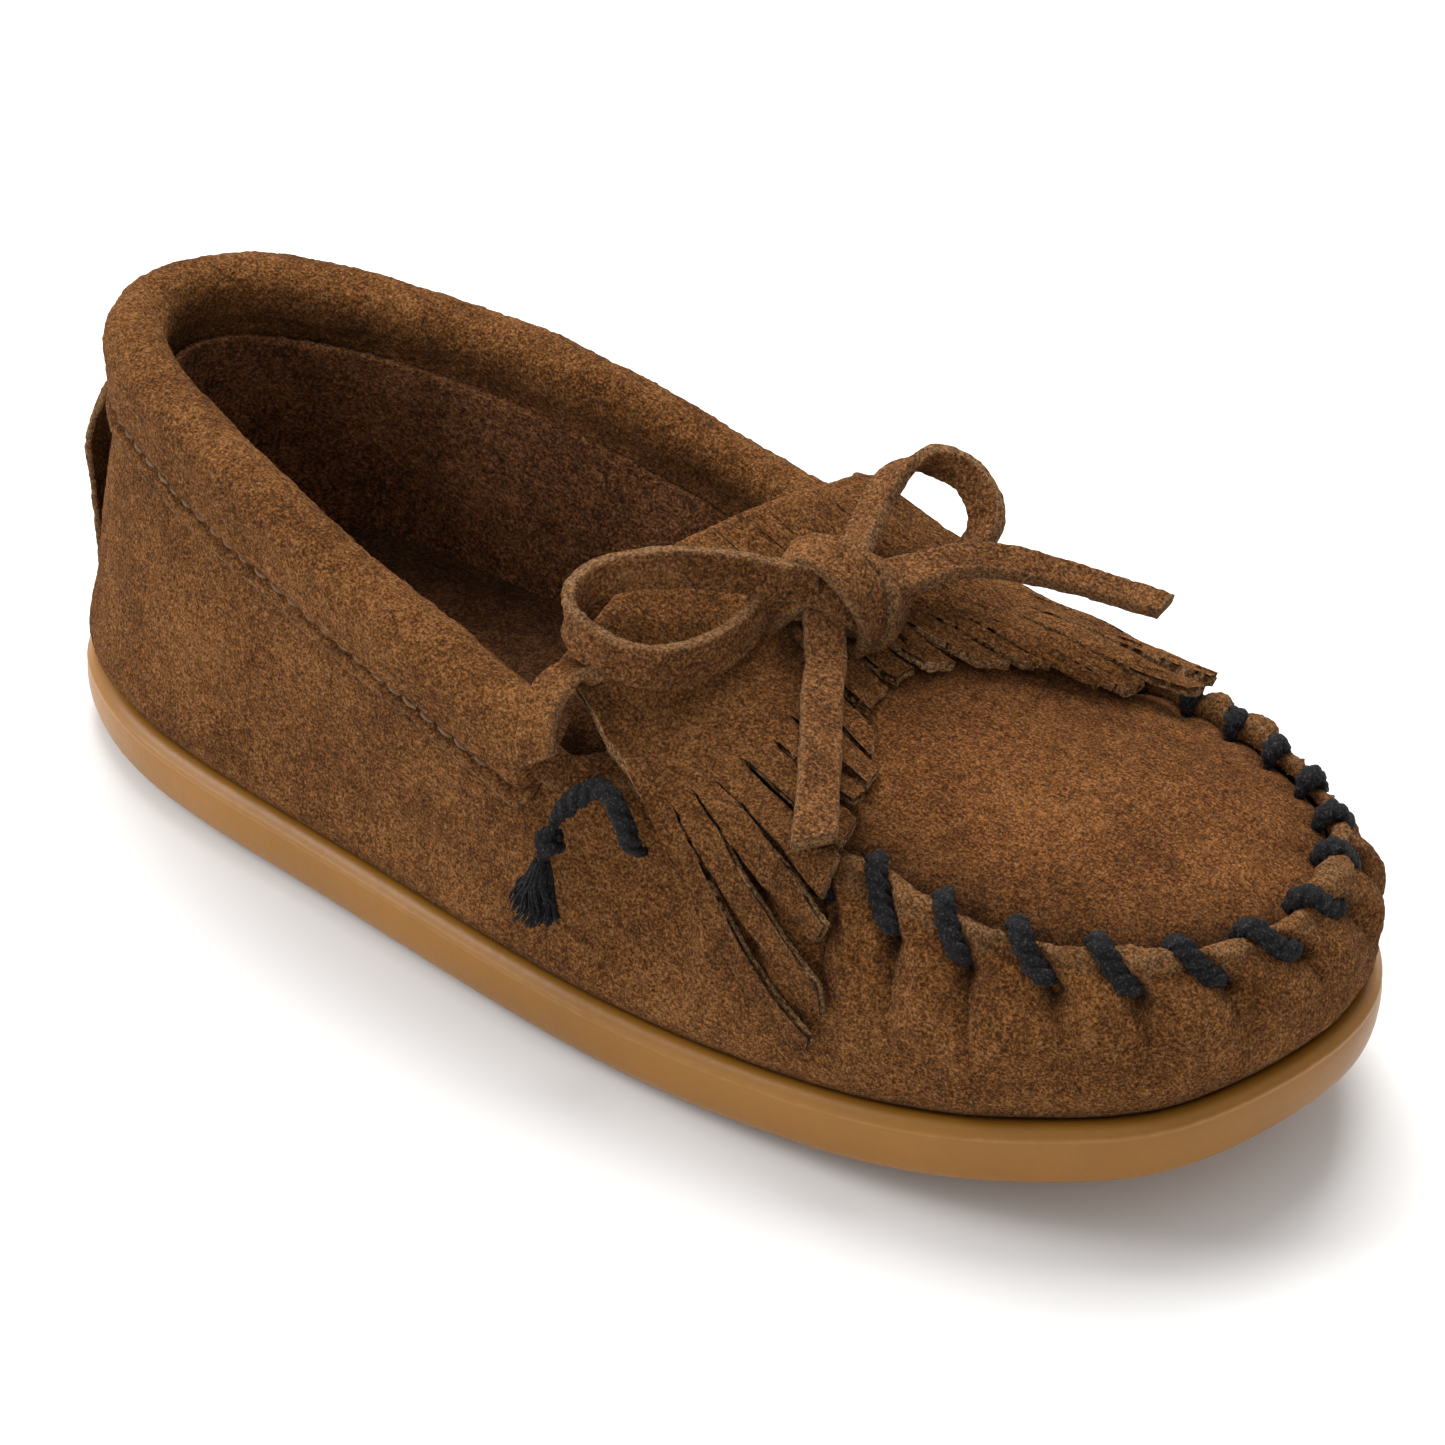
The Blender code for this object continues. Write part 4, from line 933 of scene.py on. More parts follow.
# ------------------------------------------------------------------ collar cuff


def collar_points(t, h, off):
    """Folded edge: h below the ridge, off outward of the vamp's outer face, for every t."""
    r = ridge(t)
    if h <= -EDGE_DROP:
        return wall_at(t, r[:, 2] + h, off)
    k = (h + EDGE_DROP) / EDGE_DROP
    n = outward(edge, t)
    top = np.c_[r[:, 0] + 0.8 * n[:, 0], r[:, 1] + 0.8 * n[:, 1], r[:, 2]]
    p = edge(t) * (1 - k) + top * k
    return np.c_[p[:, 0] + n[:, 0] * off, p[:, 1] + n[:, 1] * off, r[:, 2] + h]


CUFF_SHAPE = [(-12.2, 1.30), (-11.2, 1.45), (-10.3, 1.35), (-9.6, 1.55), (-8.2, 2.05), (-6.5, 2.45), (-4.7, 2.65), (-3.0, 2.5), (-1.5, 1.6), (-0.7, -0.1),
              (-0.8, -1.8), (-1.7, -3.2), (-3.2, -3.95), (-5.0, -3.75), (-7.2, -3.05), (-9.5, -2.75), (-11.3, -2.85)]
CUFF_END = 5.02
TOPSTITCH_H = -10.35


def cuff():
    nt, npts = (900, 110) if FULL else (260, 40)
    line = even(np.array([(h, o, 0) for h, o in open_spline(CUFF_SHAPE, 600)]), 0.01)[:, :2]
    line = even(np.c_[line, np.zeros(len(line))], np.linalg.norm(np.diff(line, axis=0), axis=1).sum() / npts)[:, :2]
    g = np.gradient(line, axis=0)
    g /= np.linalg.norm(g, axis=1)[:, None]
    normal = np.c_[-g[:, 1], g[:, 0]]
    half = 0.72
    a = np.linspace(0, math.pi, 7)[1:-1]
    cap0 = [line[0] + half * (normal[0] * math.cos(x) - g[0] * math.sin(x)) for x in a[::-1]]
    cap1 = [line[-1] + half * (normal[-1] * math.cos(x) + g[-1] * math.sin(x)) for x in a]
    loop = np.vstack([line + normal * half, cap1, (line - normal * half)[::-1], cap0[::-1]])
    tt = even_rows(ridge, -CUFF_END, CUFF_END, nt)
    p = np.stack([collar_points(tt, h, o) for h, o in loop], 1)
    end = np.clip((np.abs(tt) - CUFF_END + 0.09) / 0.09, 0, 0.97)
    middle = p.mean(1, keepdims=True)
    p = middle + (p - middle) * np.sqrt(1 - end ** 2)[:, None, None]
    s = np.linspace(0, 1, nt) * 230
    groove = np.exp(-((loop[:, 0] - TOPSTITCH_H) / 0.45) ** 2) * (loop[:, 1] > 1.2)
    dimple = 0.5 + 0.5 * np.cos(2 * math.pi * (s / 3.1 + 0.25 * noise(np.c_[s, s * 0, s * 0], 5.0, 95)))
    n = grid_normals(p, False, True)
    if (n[nt // 4] * (p[nt // 4] - p[nt // 4].mean(0))).sum() < 0:
        n = -n
    gather = 0.16 * noise(np.stack(np.broadcast_arrays(s[:, None], loop[None, :, 0] * 0.35, 0.0), -1), 2.6, 91) * np.exp(-((loop[:, 0] + 9) / 4.0) ** 2)[None]
    soft = 0.30 * noise(p, (9.0, 9.0, 12.0), 92)
    move = fuzz(p, 1.05, 93) + gather + soft - groove[None] * (0.28 + 0.22 * dimple[:, None])
    p = p + n * move[..., None]
    # painted shade in the topstitch groove
    dark = np.broadcast_to(0.55 * groove[None], p.shape[:2]).copy()
    pale = np.broadcast_to((0.55 * ((loop[:, 0] < -11.9) & (loop[:, 1] > 0)))[None], p.shape[:2]).copy() * (0.5 + 0.5 * smooth(0.5 + noise(p, 1.5, 94)))
    v, faces = sweep(p)
    obj = new_mesh("collar_cuff_suede", v, faces, SUEDE, {"dark": np.r_[dark.ravel(), 0, 0], "pale": np.r_[pale.ravel(), 0.4, 0.4]})
    return ride_all(obj, "shoe", "suede", "collar_cuff")


def topstitch():
    """Row of short tan stitches sunk in the cuff's groove."""
    t = even_rows(ridge, -CUFF_END + 0.1, CUFF_END - 0.1, 2400)
    line = collar_points(t, TOPSTITCH_H, 1.35 + 0.72)
    n3 = np.c_[outward(edge, t), np.zeros(len(t))]
    s = np.r_[0, np.cumsum(np.linalg.norm(np.diff(line, axis=0), axis=1))]
    verts, faces, base, at = [], [[], []], 0, 1.0
    k = 0
    while at < s[-1] - 3:
        length = 2.0 + 0.35 * float(rand(1, 900 + k)[0])
        q = np.linspace(at, at + length, 7)
        p = np.stack([np.interp(q, s, line[:, c]) for c in range(3)], 1)
        n = np.stack([np.interp(q, s, n3[:, c]) for c in range(3)], 1)
        arch = np.sin(np.linspace(0, math.pi, 7)) * 0.34 - 0.52
        p = p + n * arch[:, None] + np.array([0, 0, 0.10]) * (rand(1, 1300 + k)[0] - 0.5)
        tg, side, up = frames(p, n)
        a = 2 * math.pi * np.arange(8) / 8
        ring = p[:, None] + 0.27 * (side[:, None] * np.cos(a)[None, :, None] + up[:, None] * np.sin(a)[None, :, None])
        v, f = sweep(ring)
        for c in (0, 1):
            faces[c].append(f[c] + base)
        verts.append(v)
        base += len(v)
        at += 2.7 + 0.9 * float(rand(1, 1700 + k)[0])
        k += 1
    obj = new_mesh("collar_topstitch", np.vstack(verts), [np.vstack(faces[0]), np.vstack(faces[1])], TAN_THREAD)
    return ride_all(obj, "shoe", "suede")


cuff()
topstitch()

# ------------------------------------------------------------------ heel strip


def heel_strip():
    nz, nt = (150, 60) if FULL else (60, 24)
    z1 = 58.4 - CUFF_H + 0.3
    u = np.linspace(0, 1, nz)
    z = 11.2 + (z1 - 11.2) * u
    half_t = 0.62 + 0.12 * (1 - u)
    bulge = 0.9 + 2.5 * np.exp(-(((u - 0.70) / 0.23) ** 2)) + 0.8 * (1 - u) ** 2
    bulge = bulge * smooth((1.02 - u) / 0.12) + 0.5 * (1 - smooth((1.02 - u) / 0.12))
    outer, inner = [], []
    for k in range(nz):
        wob = 0.05 * noise(np.array([[0, 0, z[k]]]), 6, 101)[0]
        t = np.linspace(-half_t[k] + wob, half_t[k] + wob, nt)
        q = wall_at(t, max(z[k], 13.0), bulge[k])
        n = outward(edge, t)
        q[:, 2] = z[k]
        inner.append(q)
        edge_round = 1 - 0.55 * np.abs(np.linspace(-1, 1, nt)) ** 10
        o = q.copy()
        o[:, :2] += n * (1.5 * edge_round)[:, None]
        outer.append(o)
    p = np.concatenate([np.array(outer), np.array(inner)[:, ::-1]], 1)
    n = grid_normals(p, False, True)
    if (n[nz // 2, nt // 2, 0]) > 0:
        n = -n
    p = p + n * (fuzz(p, 1.0, 103) + 0.2 * noise(p, 7.0, 104))[..., None]
    pale = np.zeros(p.shape[:2])
    pale[:, [0, 1, nt - 2, nt - 1, nt, 2 * nt - 1]] = 0.7
    v, faces = sweep(p)
    obj = new_mesh("heel_strip_suede", v, faces, SUEDE, {"pale": np.r_[pale.ravel(), 0.7, 0.7]})
    return ride_all(obj, "shoe", "suede", "heel_strip")


heel_strip()

# ------------------------------------------------------------------ waxed cord: toe stitches, thread end and tassel


def rope(name, path, hint, radius, flat=1.0, plies=3, pitch=5.5, seed=0, taper=True, material_=None):
    """Twisted cord along path; flat squeezes it along the hint."""
    step = 0.16 if FULL else 0.4
    p = even(path, step)
    k = len(p)
    h = np.broadcast_to(np.array(hint, float), (len(path), 3)) if np.ndim(hint) == 1 else np.array(hint)
    s_old = np.r_[0, np.cumsum(np.linalg.norm(np.diff(path, axis=0), axis=1))]
    s = np.linspace(0, s_old[-1], k)
    h = np.stack([np.interp(s, s_old, h[:, c]) for c in range(3)], 1)
    _, side, up = frames(p, h)
    m = 26 if FULL else 12
    a = 2 * math.pi * np.arange(m) / m
    phase = a[None] - 2 * math.pi * s[:, None] / pitch + seed
    ridge_ = np.abs(np.cos(plies / 2 * phase))
    r = radius * (0.74 + 0.32 * ridge_ ** 0.8)
    if taper:
        r = r * (0.45 + 0.55 * smooth(np.minimum(s, s[-1] - s) / 3.2))[:, None]
    q = p[:, None] + side[:, None] * (r * np.cos(a))[..., None] + up[:, None] * (r * flat * np.sin(a))[..., None]
    out = q - p[:, None]
    out /= np.linalg.norm(out, axis=2, keepdims=True)
    q = q + out * (0.15 * noise(q, 0.40, 110 + seed) + 0.10 * noise(q, 1.1, 111 + seed))[..., None]
    # painted shade in the valleys between the plies
    dark = np.r_[((1 - ridge_) ** 1.6 * 0.9).ravel(), 0.5, 0.5]
    v, faces = sweep(q)
    return v, faces, dark


def along(t, distance):
    return float(seam_t(seam_s(np.array([t])) + distance)[0])


def seam_point(t, n_off, z_off):
    e, n = edge(t)[0], outward(edge, t)[0]
    return np.array([e[0] + n[0] * n_off, e[1] + n[1] * n_off, e[2] + z_off])


def wall_point(t, u, off):
    tt = np.array([t])
    return wall(tt, u, float(folds(tt, u)[0]) + off)[0]


for number, place in enumerate(PLACES, 1):
    lean = float(LEAN[number - 1])
    jit = rand(4, 200 + number) - 0.5
    crown = float(np.interp(edge(along(place, -3.0 * lean))[0, 0], CROWN_X, CROWN_Z))
    pts = [wall_point(along(place, 3.7 * lean), 0.835, -1.5),
           wall_point(along(place, 3.3 * lean), 0.852 + 0.012 * jit[0], -0.1),
           wall_point(along(place, 2.4 * lean), 0.895, 0.80),
           wall_point(along(place, 1.1 * lean), 0.950, 1.00),
           seam_point(along(place, -0.5 * lean), 0.30, 1.35),
           seam_point(along(place, -1.4 * lean), -0.75, 1.85 + 0.2 * jit[1]),
           seam_point(along(place, -2.1 * lean), -1.7, 1.20 + 0.10 * crown),
           seam_point(along(place, -2.6 * lean), -2.35, 0.0 + 0.16 * crown),
           seam_point(along(place, -2.8 * lean), -2.7, -1.4 + 0.2 * crown)]
    path = open_spline(pts, 60)
    ns_, ne = outward(sole, place)[0], outward(edge, place)[0]
    mix_up = np.linspace(0, 1, 60)[:, None]
    hints = np.array([ne[0], ne[1], 0.15]) * (1 - mix_up) + np.array([ne[0] * 0.15, ne[1] * 0.15, 1.0]) * mix_up
    v, faces, dark = rope("cord", path, hints, 1.32, 0.62, 3, 5.0 + 1.5 * jit[2], number)
    cord_obj = new_mesh(f"stitch_cord_{number:02d}", v, faces, WAX, {"dark": dark})
    ride_all(cord_obj, "shoe", "waxed_cord", f"toe_stitch_{number:02d}")

LOOP = [(110.9, -30.6, 33.0), (110.3, -32.2, 34.4), (109.3, -32.3, 36.6), (107.6, -31.9, 39.0), (105.2, -31.5, 39.9), (102.9, -32.1, 38.6), (101.3, -33.1, 36.6), (100.5, -34.0, 35.1), (100.2, -34.4, 33.9)]
v, faces, dark = rope("loop", open_spline(LOOP, 80), (0.1, -1.0, 0.25), 1.30, 0.85, 3, 6.0, 3)
ride_all(new_mesh("thread_end_loop", v, faces, WAX, {"dark": dark}), "shoe", "waxed_cord", "thread_loop")


def tassel():
    """Knot of the thread and its frayed end."""
    verts, faces, darks, base = [], [[], []], [], 0

    def add(v, f, d):
        nonlocal base
        for c in (0, 1):
            faces[c].append(f[c] + base)
        verts.append(v)
        darks.append(d)
        base += len(v)

    a = np.linspace(0, 2.6 * math.pi, 60)
    wrap = np.c_[100.12 + 1.15 * np.cos(a), -34.85 + 1.05 * np.sin(a), 33.0 - 1.8 * a / a[-1]]
    add(*rope("wrap", wrap, (0, 0, 1), 0.85, 0.95, 3, 4.5, 1))
    neck = open_spline([(100.3, -34.3, 34.6), (100.1, -34.8, 33.2), (99.9, -35.2, 31.6), (99.7, -35.7, 30.2), (99.5, -36.1, 28.6)], 30)
    add(*rope("neck", neck, (1, 0, 0), 1.15, 1.0, 3, 5.0, 2))
    count = 150 if FULL else 50
    u1, u2, u3, u4 = (rand(count, 400 + k) for k in range(4))
    for k in range(count):
        ang, spread = 2 * math.pi * u1[k], 0.35 + 1.9 * math.sqrt(u2[k])
        length = 6.0 + 3.2 * u3[k] - 0.6 * spread
        r0 = 0.9 * math.sqrt(u2[k])
        dx, dy = math.cos(ang), math.sin(ang) * 0.8
        start = np.array([99.6 + r0 * dx, -36.0 + r0 * dy, 29.8 - 0.5 * u4[k]])
        mid_ = start + np.array([0.45 * spread * dx - 0.1, 0.45 * spread * dy - 0.55, -0.45 * length])
        tip = start + np.array([(0.9 + 0.3 * u4[k]) * spread * dx - 0.4, 0.9 * spread * dy - 1.0, -length])
        wig = start + (tip - start) * 0.75 + np.array([u3[k] - 0.5, u1[k] - 0.5, 0]) * 1.6
        path = open_spline([start, mid_, wig, tip], 16)
        _, side, up = frames(path, (0.3, 0.9, 0.1))
        a6 = 2 * math.pi * np.arange(6) / 6
        rad = (0.19 + 0.10 * u4[k]) * (1 - 0.45 * np.linspace(0, 1, 16))
        ring = path[:, None] + rad[:, None, None] * (side[:, None] * np.cos(a6)[None, :, None] + up[:, None] * np.sin(a6)[None, :, None])
        v_, f_ = sweep(ring)
        add(v_, f_, np.full(len(v_), 0.3 * u2[k]))
    obj = new_mesh("thread_tassel_frayed", np.vstack(verts), [np.vstack(faces[0]), np.vstack(faces[1])], WAX, {"dark": np.concatenate(darks)})
    return ride_all(obj, "tassel", "waxed_cord", "thread_tassel")


tassel()

# ------------------------------------------------------------------ kiltie: a sheet folded at the rear and cut into strips


def rib(p, q):
    """Middle face of the kiltie: p from 0 (outer edge) to 1 (inner edge), q from 0 (rear) to 1 (tip)."""
    a, b = REAR(p * 4), TIPS(p * 18)
    q = np.broadcast_to(np.asarray(q, float), p.shape)
    xy = a[:, :2] + (b[:, :2] - a[:, :2]) * q[:, None]
    pull = 1 - np.minimum(p, 1 - p) / 0.5
    xy[:, 1] += 1.1 * np.sin(np.pi * np.clip(q, 0, 1)) * np.where(p < 0.5, -1, 1) * pull
    swell = np.exp(-(p / 0.13) ** 2) * np.sin(np.pi * np.clip(q, 0, 1) ** 1.5)
    xy -= swell[:, None] * np.array([1.9, 0.7])
    lift = a[:, 2] - drape(a[:, 0], a[:, 1])
    z = drape(xy[:, 0], xy[:, 1]) + lift * (1 - smooth(q / 0.55))
    return np.c_[xy, z]


def slit_start(p):
    return 0.38 + 0.36 * (1 - abs(2 * p - 1)) ** 0.8


def seam_reach(x, y):
    """How far inside the toe seam a point lies, in mm."""
    yn, yf = np.interp(x, _near[:, 0], _near[:, 1]), np.interp(x, _far[:, 0], _far[:, 1])
    return np.minimum(y - yn, yf - y)


def kiltie_half(name, first, last, nodes):
    cols = 11 if FULL else 6
    rows = 150 if FULL else 60
    under = 34 if FULL else 16
    cs = np.linspace(-0.5, 0.5, cols)
    verts, faces, key, base = [], [], [], 0
    for k in range(first, last):
        r = rand(8, 600 + k) - 0.5
        pc = (k + 0.5) / 18
        p = (k + 0.5 + cs) / 18
        long_one = k < 3 or k > 15
        length = {0: 0.985, 1: 0.985, 2: 0.985, 17: 0.97, 16: 0.985}.get(k, 1.0 + 0.06 * r[0])
        skew = 0.05 * r[1] + (0.02 if k < 9 else -0.02)
        roll = (0.35 if long_one else 0.40) * r[2]
        slide = {0: -1.6, 1: 0.35, 2: 0.9, 17: 1.3, 16: -0.1, 15: -0.6}.get(k, 0.5 * r[3])
        half_tip = {0: 1.85, 1: 1.75, 2: 2.0, 17: 1.5, 16: 1.5, 15: 1.7}.get(k, 0)
        curl = 0.9 * r[4] + 0.3
        open_ = 0.26 if k < 9 else 0.34
        nick = 0.13 if k < 9 else 0.20
        q0 = slit_start(pc) * (0.97 + 0.12 * r[5])
        for c, (cc, pp) in enumerate(zip(cs, p)):
            qs = np.linspace(0, 1, rows) * (length + skew * cc)
            P = rib(np.full(rows, pp), qs)
            C = rib(np.full(rows, pc), qs)
            b = smooth((qs - q0) / (1.02 - q0))
            W = P - C
            T = np.gradient(C, axis=0)
            T /= np.linalg.norm(T, axis=1)[:, None]
            wl = np.linalg.norm(W, axis=1)[:, None]
            N = np.cross(T, W * np.sign(cc if cc else 1) + 1e-9)
            N /= np.linalg.norm(N, axis=1)[:, None] + 1e-9
            N *= np.sign(N @ np.array([0.25, -0.8 if first == 0 else 0.8, 0.7]))[:, None]
            cut = np.clip((qs - slit_start((k + (0 if cc < 0 else 1)) / 18)) * 26, 0, 1)
            full = np.linalg.norm(rib(np.full(rows, (k + 1) / 18), qs) - C, axis=1)
            tip_half = half_tip if long_one else full * (1 - open_)
            X = C + W * ((full * (1 - nick * cut) * (1 - b) + tip_half * b) / full)[:, None]
            X += N * (wl * np.sign(cc) * np.tan(roll) * b[:, None] * 0.8)
            side_dir = (rib(np.full(rows, pc + 0.01), qs) - C)
            side_dir /= np.linalg.norm(side_dir, axis=1)[:, None]
            X += side_dir * (slide * b ** 1.5)[:, None]
            reach = seam_reach(X[:, 0], X[:, 1])
            X[:, 2] -= 1.9 * b * smooth((reach - 4.0) / 4.0)
            X += N * (curl * b ** 2 * (0.5 + 0.5 * np.sin(3.0 * b + k)) * 0.8)[:, None]
            X += N * (0.30 * noise(C, 6.0, 640))[:, None] * smooth(qs / 0.1)[:, None]
            # the sheet folds under at the rear and runs forward again on the plug
            a = rib(np.array([pp]), 0.0)[0]
            t0 = rib(np.array([pp]), 0.04)[0] - a
            t0 /= np.linalg.norm(t0)
            w = 0.86 * (2 * pp - 1)
            bpt = plug_at([5.22], w)[0] + np.array([0, 0, 1.0])
            near_end = math.exp(-(pp / 0.10) ** 2) + 0.6 * math.exp(-((1 - pp) / 0.10) ** 2)
            c1 = a - t0 * (1.8 + 3.6 * near_end)
            c2 = bpt + np.array([-3.2 - 2.6 * near_end, 0, 1.2])
            u = np.linspace(1, 0, under + 1)[:-1, None]
            fold = a * (1 - u) ** 3 + 3 * c1 * u * (1 - u) ** 2 + 3 * c2 * u ** 2 * (1 - u) + bpt * u ** 3
            verts.append(np.vstack([fold, X]))
        nrow = rows + under
        f = grid_faces(cols, nrow) + base
        faces.append(f)
        base += cols * nrow
    v = np.vstack(verts)
    nrow = rows + under
    # neighbouring strips share their points down to where the slit starts
    remap = np.arange(len(v))
    strips = last - first
    for k in range(strips - 1):
        limit = slit_start((first + k + 1) / 18)
        joined = under + int(rows * limit)
        a0 = (k * cols + cols - 1) * nrow
        b0 = (k + 1) * cols * nrow
        mid_ = (v[a0:a0 + joined] + v[b0:b0 + joined]) / 2
        v[a0:a0 + joined] = mid_
        v[b0:b0 + joined] = mid_
        remap[b0:b0 + joined] = np.arange(a0, a0 + joined)
    f = remap[np.vstack(faces)]
    used = np.unique(f)
    index = np.zeros(len(v), int)
    index[used] = np.arange(len(used))
    # painted shade on the outer half's near side
    shade = 0.30 * smooth((-v[used, 1] - 9.0) / 12.0) if first == 0 else None
    obj = new_mesh(name, v[used], index[f], [SUEDE, SUEDE_RAW], {"dark": shade}, closed=False)
    mid_face = min(obj.data.polygons, key=lambda g: (g.center - Vector((np.array([112.0, -8.0 if first == 0 else 8.0, 58.0]) - np.array((*WAIST_PAD, 0))) * MM)).length)
    if mid_face.normal.z < 0:
        obj.data.flip_normals()
    s = obj.modifiers.new("thick", "SOLIDIFY")
    s.thickness = 1.30 * MM
    s.offset = 0
    s.use_even_offset = False
    s.material_offset_rim = 1
    bv = obj.modifiers.new("soft", "BEVEL")
    bv.width = 0.26 * MM
    bv.segments = 2
    bv.limit_method = "ANGLE"
    bv.angle_limit = math.radians(55)
    return finish_soft(obj, nodes)


def finish_soft(obj, nodes, seed=650, nap=0.62):
    """Applies the modifiers, roughens the surface with the nap, hides the CAD parts it replaces and bakes its
    transform.
    """
    dg = bpy.context.evaluated_depsgraph_get()
    done = bpy.data.meshes.new_from_object(obj.evaluated_get(dg))
    obj.modifiers.clear()
    old = obj.data
    obj.data = done
    bpy.data.meshes.remove(old)
    n = len(done.vertices)
    co, no = np.zeros(n * 3, np.float32), np.zeros(n * 3, np.float32)
    done.vertices.foreach_get("co", co)
    done.vertices.foreach_get("normal", no)
    co, no = co.reshape(-1, 3).astype(float), no.reshape(-1, 3).astype(float)
    mm = co / MM + np.array((*WAIST_PAD, 0.0))
    co = co + no * fuzz(mm, nap, seed)[:, None] * MM
    done.vertices.foreach_set("co", co.astype(np.float32).ravel())
    rest = done.attributes.get("rest") or done.attributes.new("rest", "FLOAT_VECTOR", "POINT")
    rest.data.foreach_set("vector", mm.astype(np.float32).ravel())
    done.update()
    done.shade_smooth()
    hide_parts(*nodes)
    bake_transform(obj)
    return obj


def at(x, y, z):
    return ((np.array([x, y, z]) - np.array((*WAIST_PAD, 0))) * MM).tolist()


kiltie_half("kiltie_outer_half", 0, 9, ["kiltie", "fringe_outer"])
kiltie_half("kiltie_inner_half", 9, 18, ["fringe_inner"])

# ------------------------------------------------------------------ lace


def ribbon(path, hint, width, thick, skew=(0.0, 0.0), seed=0, twist=0.0, step=None, taper=0.0):
    """Cut thong: rounded rectangle swept along path, its cut sides pale. skew slants the two ends."""
    step = step or (0.28 if FULL else 0.7)
    src = np.array(path, float)
    s_old = np.r_[0, np.cumsum(np.linalg.norm(np.diff(src, axis=0), axis=1))]
    p = even(src, step)
    k = len(p)
    s = np.linspace(0, s_old[-1], k)
    h = np.broadcast_to(np.array(hint, float), (len(src), 3))
    h = np.stack([np.interp(s, s_old, h[:, c]) for c in range(3)], 1)
    tg, side, up = frames(p, h)
    if np.ndim(twist) or twist:
        ang = np.interp(s / s[-1], np.linspace(0, 1, len(np.atleast_1d(twist))), np.atleast_1d(twist))
        c, d = np.cos(ang)[:, None], np.sin(ang)[:, None]
        side, up = side * c + up * d, up * c - side * d
    r = min(0.42, thick * 0.3)
    w, t = width / 2, thick / 2
    outline, pale = [], []
    flat_n, side_n = 13, 4
    for sx, sy, horizontal in ((1, 1, True), (-1, 1, False), (-1, -1, True), (1, -1, False)):
        corner = [(sx * (w - r) + r * math.cos(a), sy * (t - r) + r * math.sin(a)) for a in
                  (np.linspace(0, math.pi / 2, 4) + {(1, 1): 0, (-1, 1): math.pi / 2, (-1, -1): math.pi, (1, -1): 1.5 * math.pi}[(sx, sy)])]
        outline += corner
        pale += [0.75 if horizontal else 0.25, 0.55, 0.35, 0.2] if horizontal else [0.2, 0.35, 0.55, 0.75]
        nxt = {(1, 1): (-(w - r), t), (-1, 1): (-w, -(t - r)), (-1, -1): (w - r, -t), (1, -1): (w, t - r)}[(sx, sy)]
        count = flat_n if horizontal else side_n
        for f in np.arange(1, count) / count:
            outline.append((corner[-1][0] + (nxt[0] - corner[-1][0]) * f, corner[-1][1] + (nxt[1] - corner[-1][1]) * f))
            pale.append(0.0 if horizontal else 0.85)
    outline = np.array(outline)
    pale = np.array(pale)
    grow = (1 + 0.06 * noise(np.c_[s, np.full(k, seed * 11.0), np.zeros(k)], 7.0, 700)) * (1 - taper * smooth(s / s[-1]))
    q = p[:, None] + side[:, None] * (outline[None, :, 0] * grow[:, None])[..., None] + up[:, None] * outline[None, :, 1][..., None]
    for end, amount in ((0, skew[0]), (1, skew[1])):
        if amount:
            dist = s if end == 0 else s[-1] - s
            fade = smooth(1 - dist / 5.0)
            q = q + tg[:, None] * (outline[None, :, 0] * amount * fade[:, None])[..., None]
    n = grid_normals(q, False, True)
    if (n * (q - p[:, None])).sum() < 0:
        n = -n
    q = q + n * (fuzz(q, 0.75, 710 + seed) + 0.05 * noise(q, 0.5, 711 + seed))[..., None]
    m = len(outline)
    pale_ = np.tile(pale, (k, 1)) * (0.55 + 0.45 * smooth(0.5 + noise(q, 1.3, 712)))
    for rows in (slice(0, 2), slice(k - 2, k)):
        pale_[rows] = np.maximum(pale_[rows], 0.5)
    v, faces = sweep(q)
    return v, faces, np.r_[pale_.ravel(), 0.7, 0.7]


def thong(name, body, node, path, hint, blend=None, width=LACE_W + 0.15, thick=LACE_T + 0.1, **more):
    v, faces, pale = ribbon(path, hint, width, thick, **more)
    obj = new_mesh(name, v, faces, THONG, {"pale": pale})
    if node:
        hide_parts(*([node] if isinstance(node, str) else node))
    if blend:
        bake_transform(obj)
    else:
        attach(obj, body)
    return obj


def edge_hint(path, wide):
    return np.cross(np.gradient(path, axis=0), np.array(wide, float))


lo = open_spline(np.vstack([[(112.6, -2.6, 53.6), (110.2, -4.2, 53.6)], LOOP_OUT, [(111.6, -4.0, 56.6), (114.0, -2.0, 56.4)]]), 160)
thong("bow_loop_outer_thong", "loop_outer", "bow_loop_outer", lo, edge_hint(lo, (-0.10, 0.10, 1.0)), (at(112.0, -4.0, 55.5), at(106.5, -11.5, 55.5)), seed=1)
li = open_spline(np.vstack([[(114.6, 1.5, 55.2), (113.6, 4.4, 55.4)], LOOP_IN, [(115.6, 4.0, 53.4), (115.0, 1.2, 53.8)]]), 160)
thong("bow_loop_inner_thong", "loop_inner", "bow_loop_inner", li, edge_hint(li, (0.80, 0.25, 0.55)), (at(114.5, 3.5, 55.0), at(114.5, 11.0, 55.5)), seed=2)
to = open_spline(np.vstack([[(113.6, -1.0, 53.4), (115.8, -3.4, 51.9)], TAIL_OUT]), 120)
thong("lace_tail_outer_thong", "tail_outer", "lace_tail_outer", to, (0.25, -0.15, 1.0), (at(116.6, -4.6, 51.2), at(121.0, -10.0, 48.6)), seed=3, skew=(0, 0.35), twist=[0, 0, 0.12, -0.1])
ti = open_spline(np.vstack([[(114.6, 0.6, 55.4), (116.6, 2.6, 55.4)], TAIL_IN]), 120)
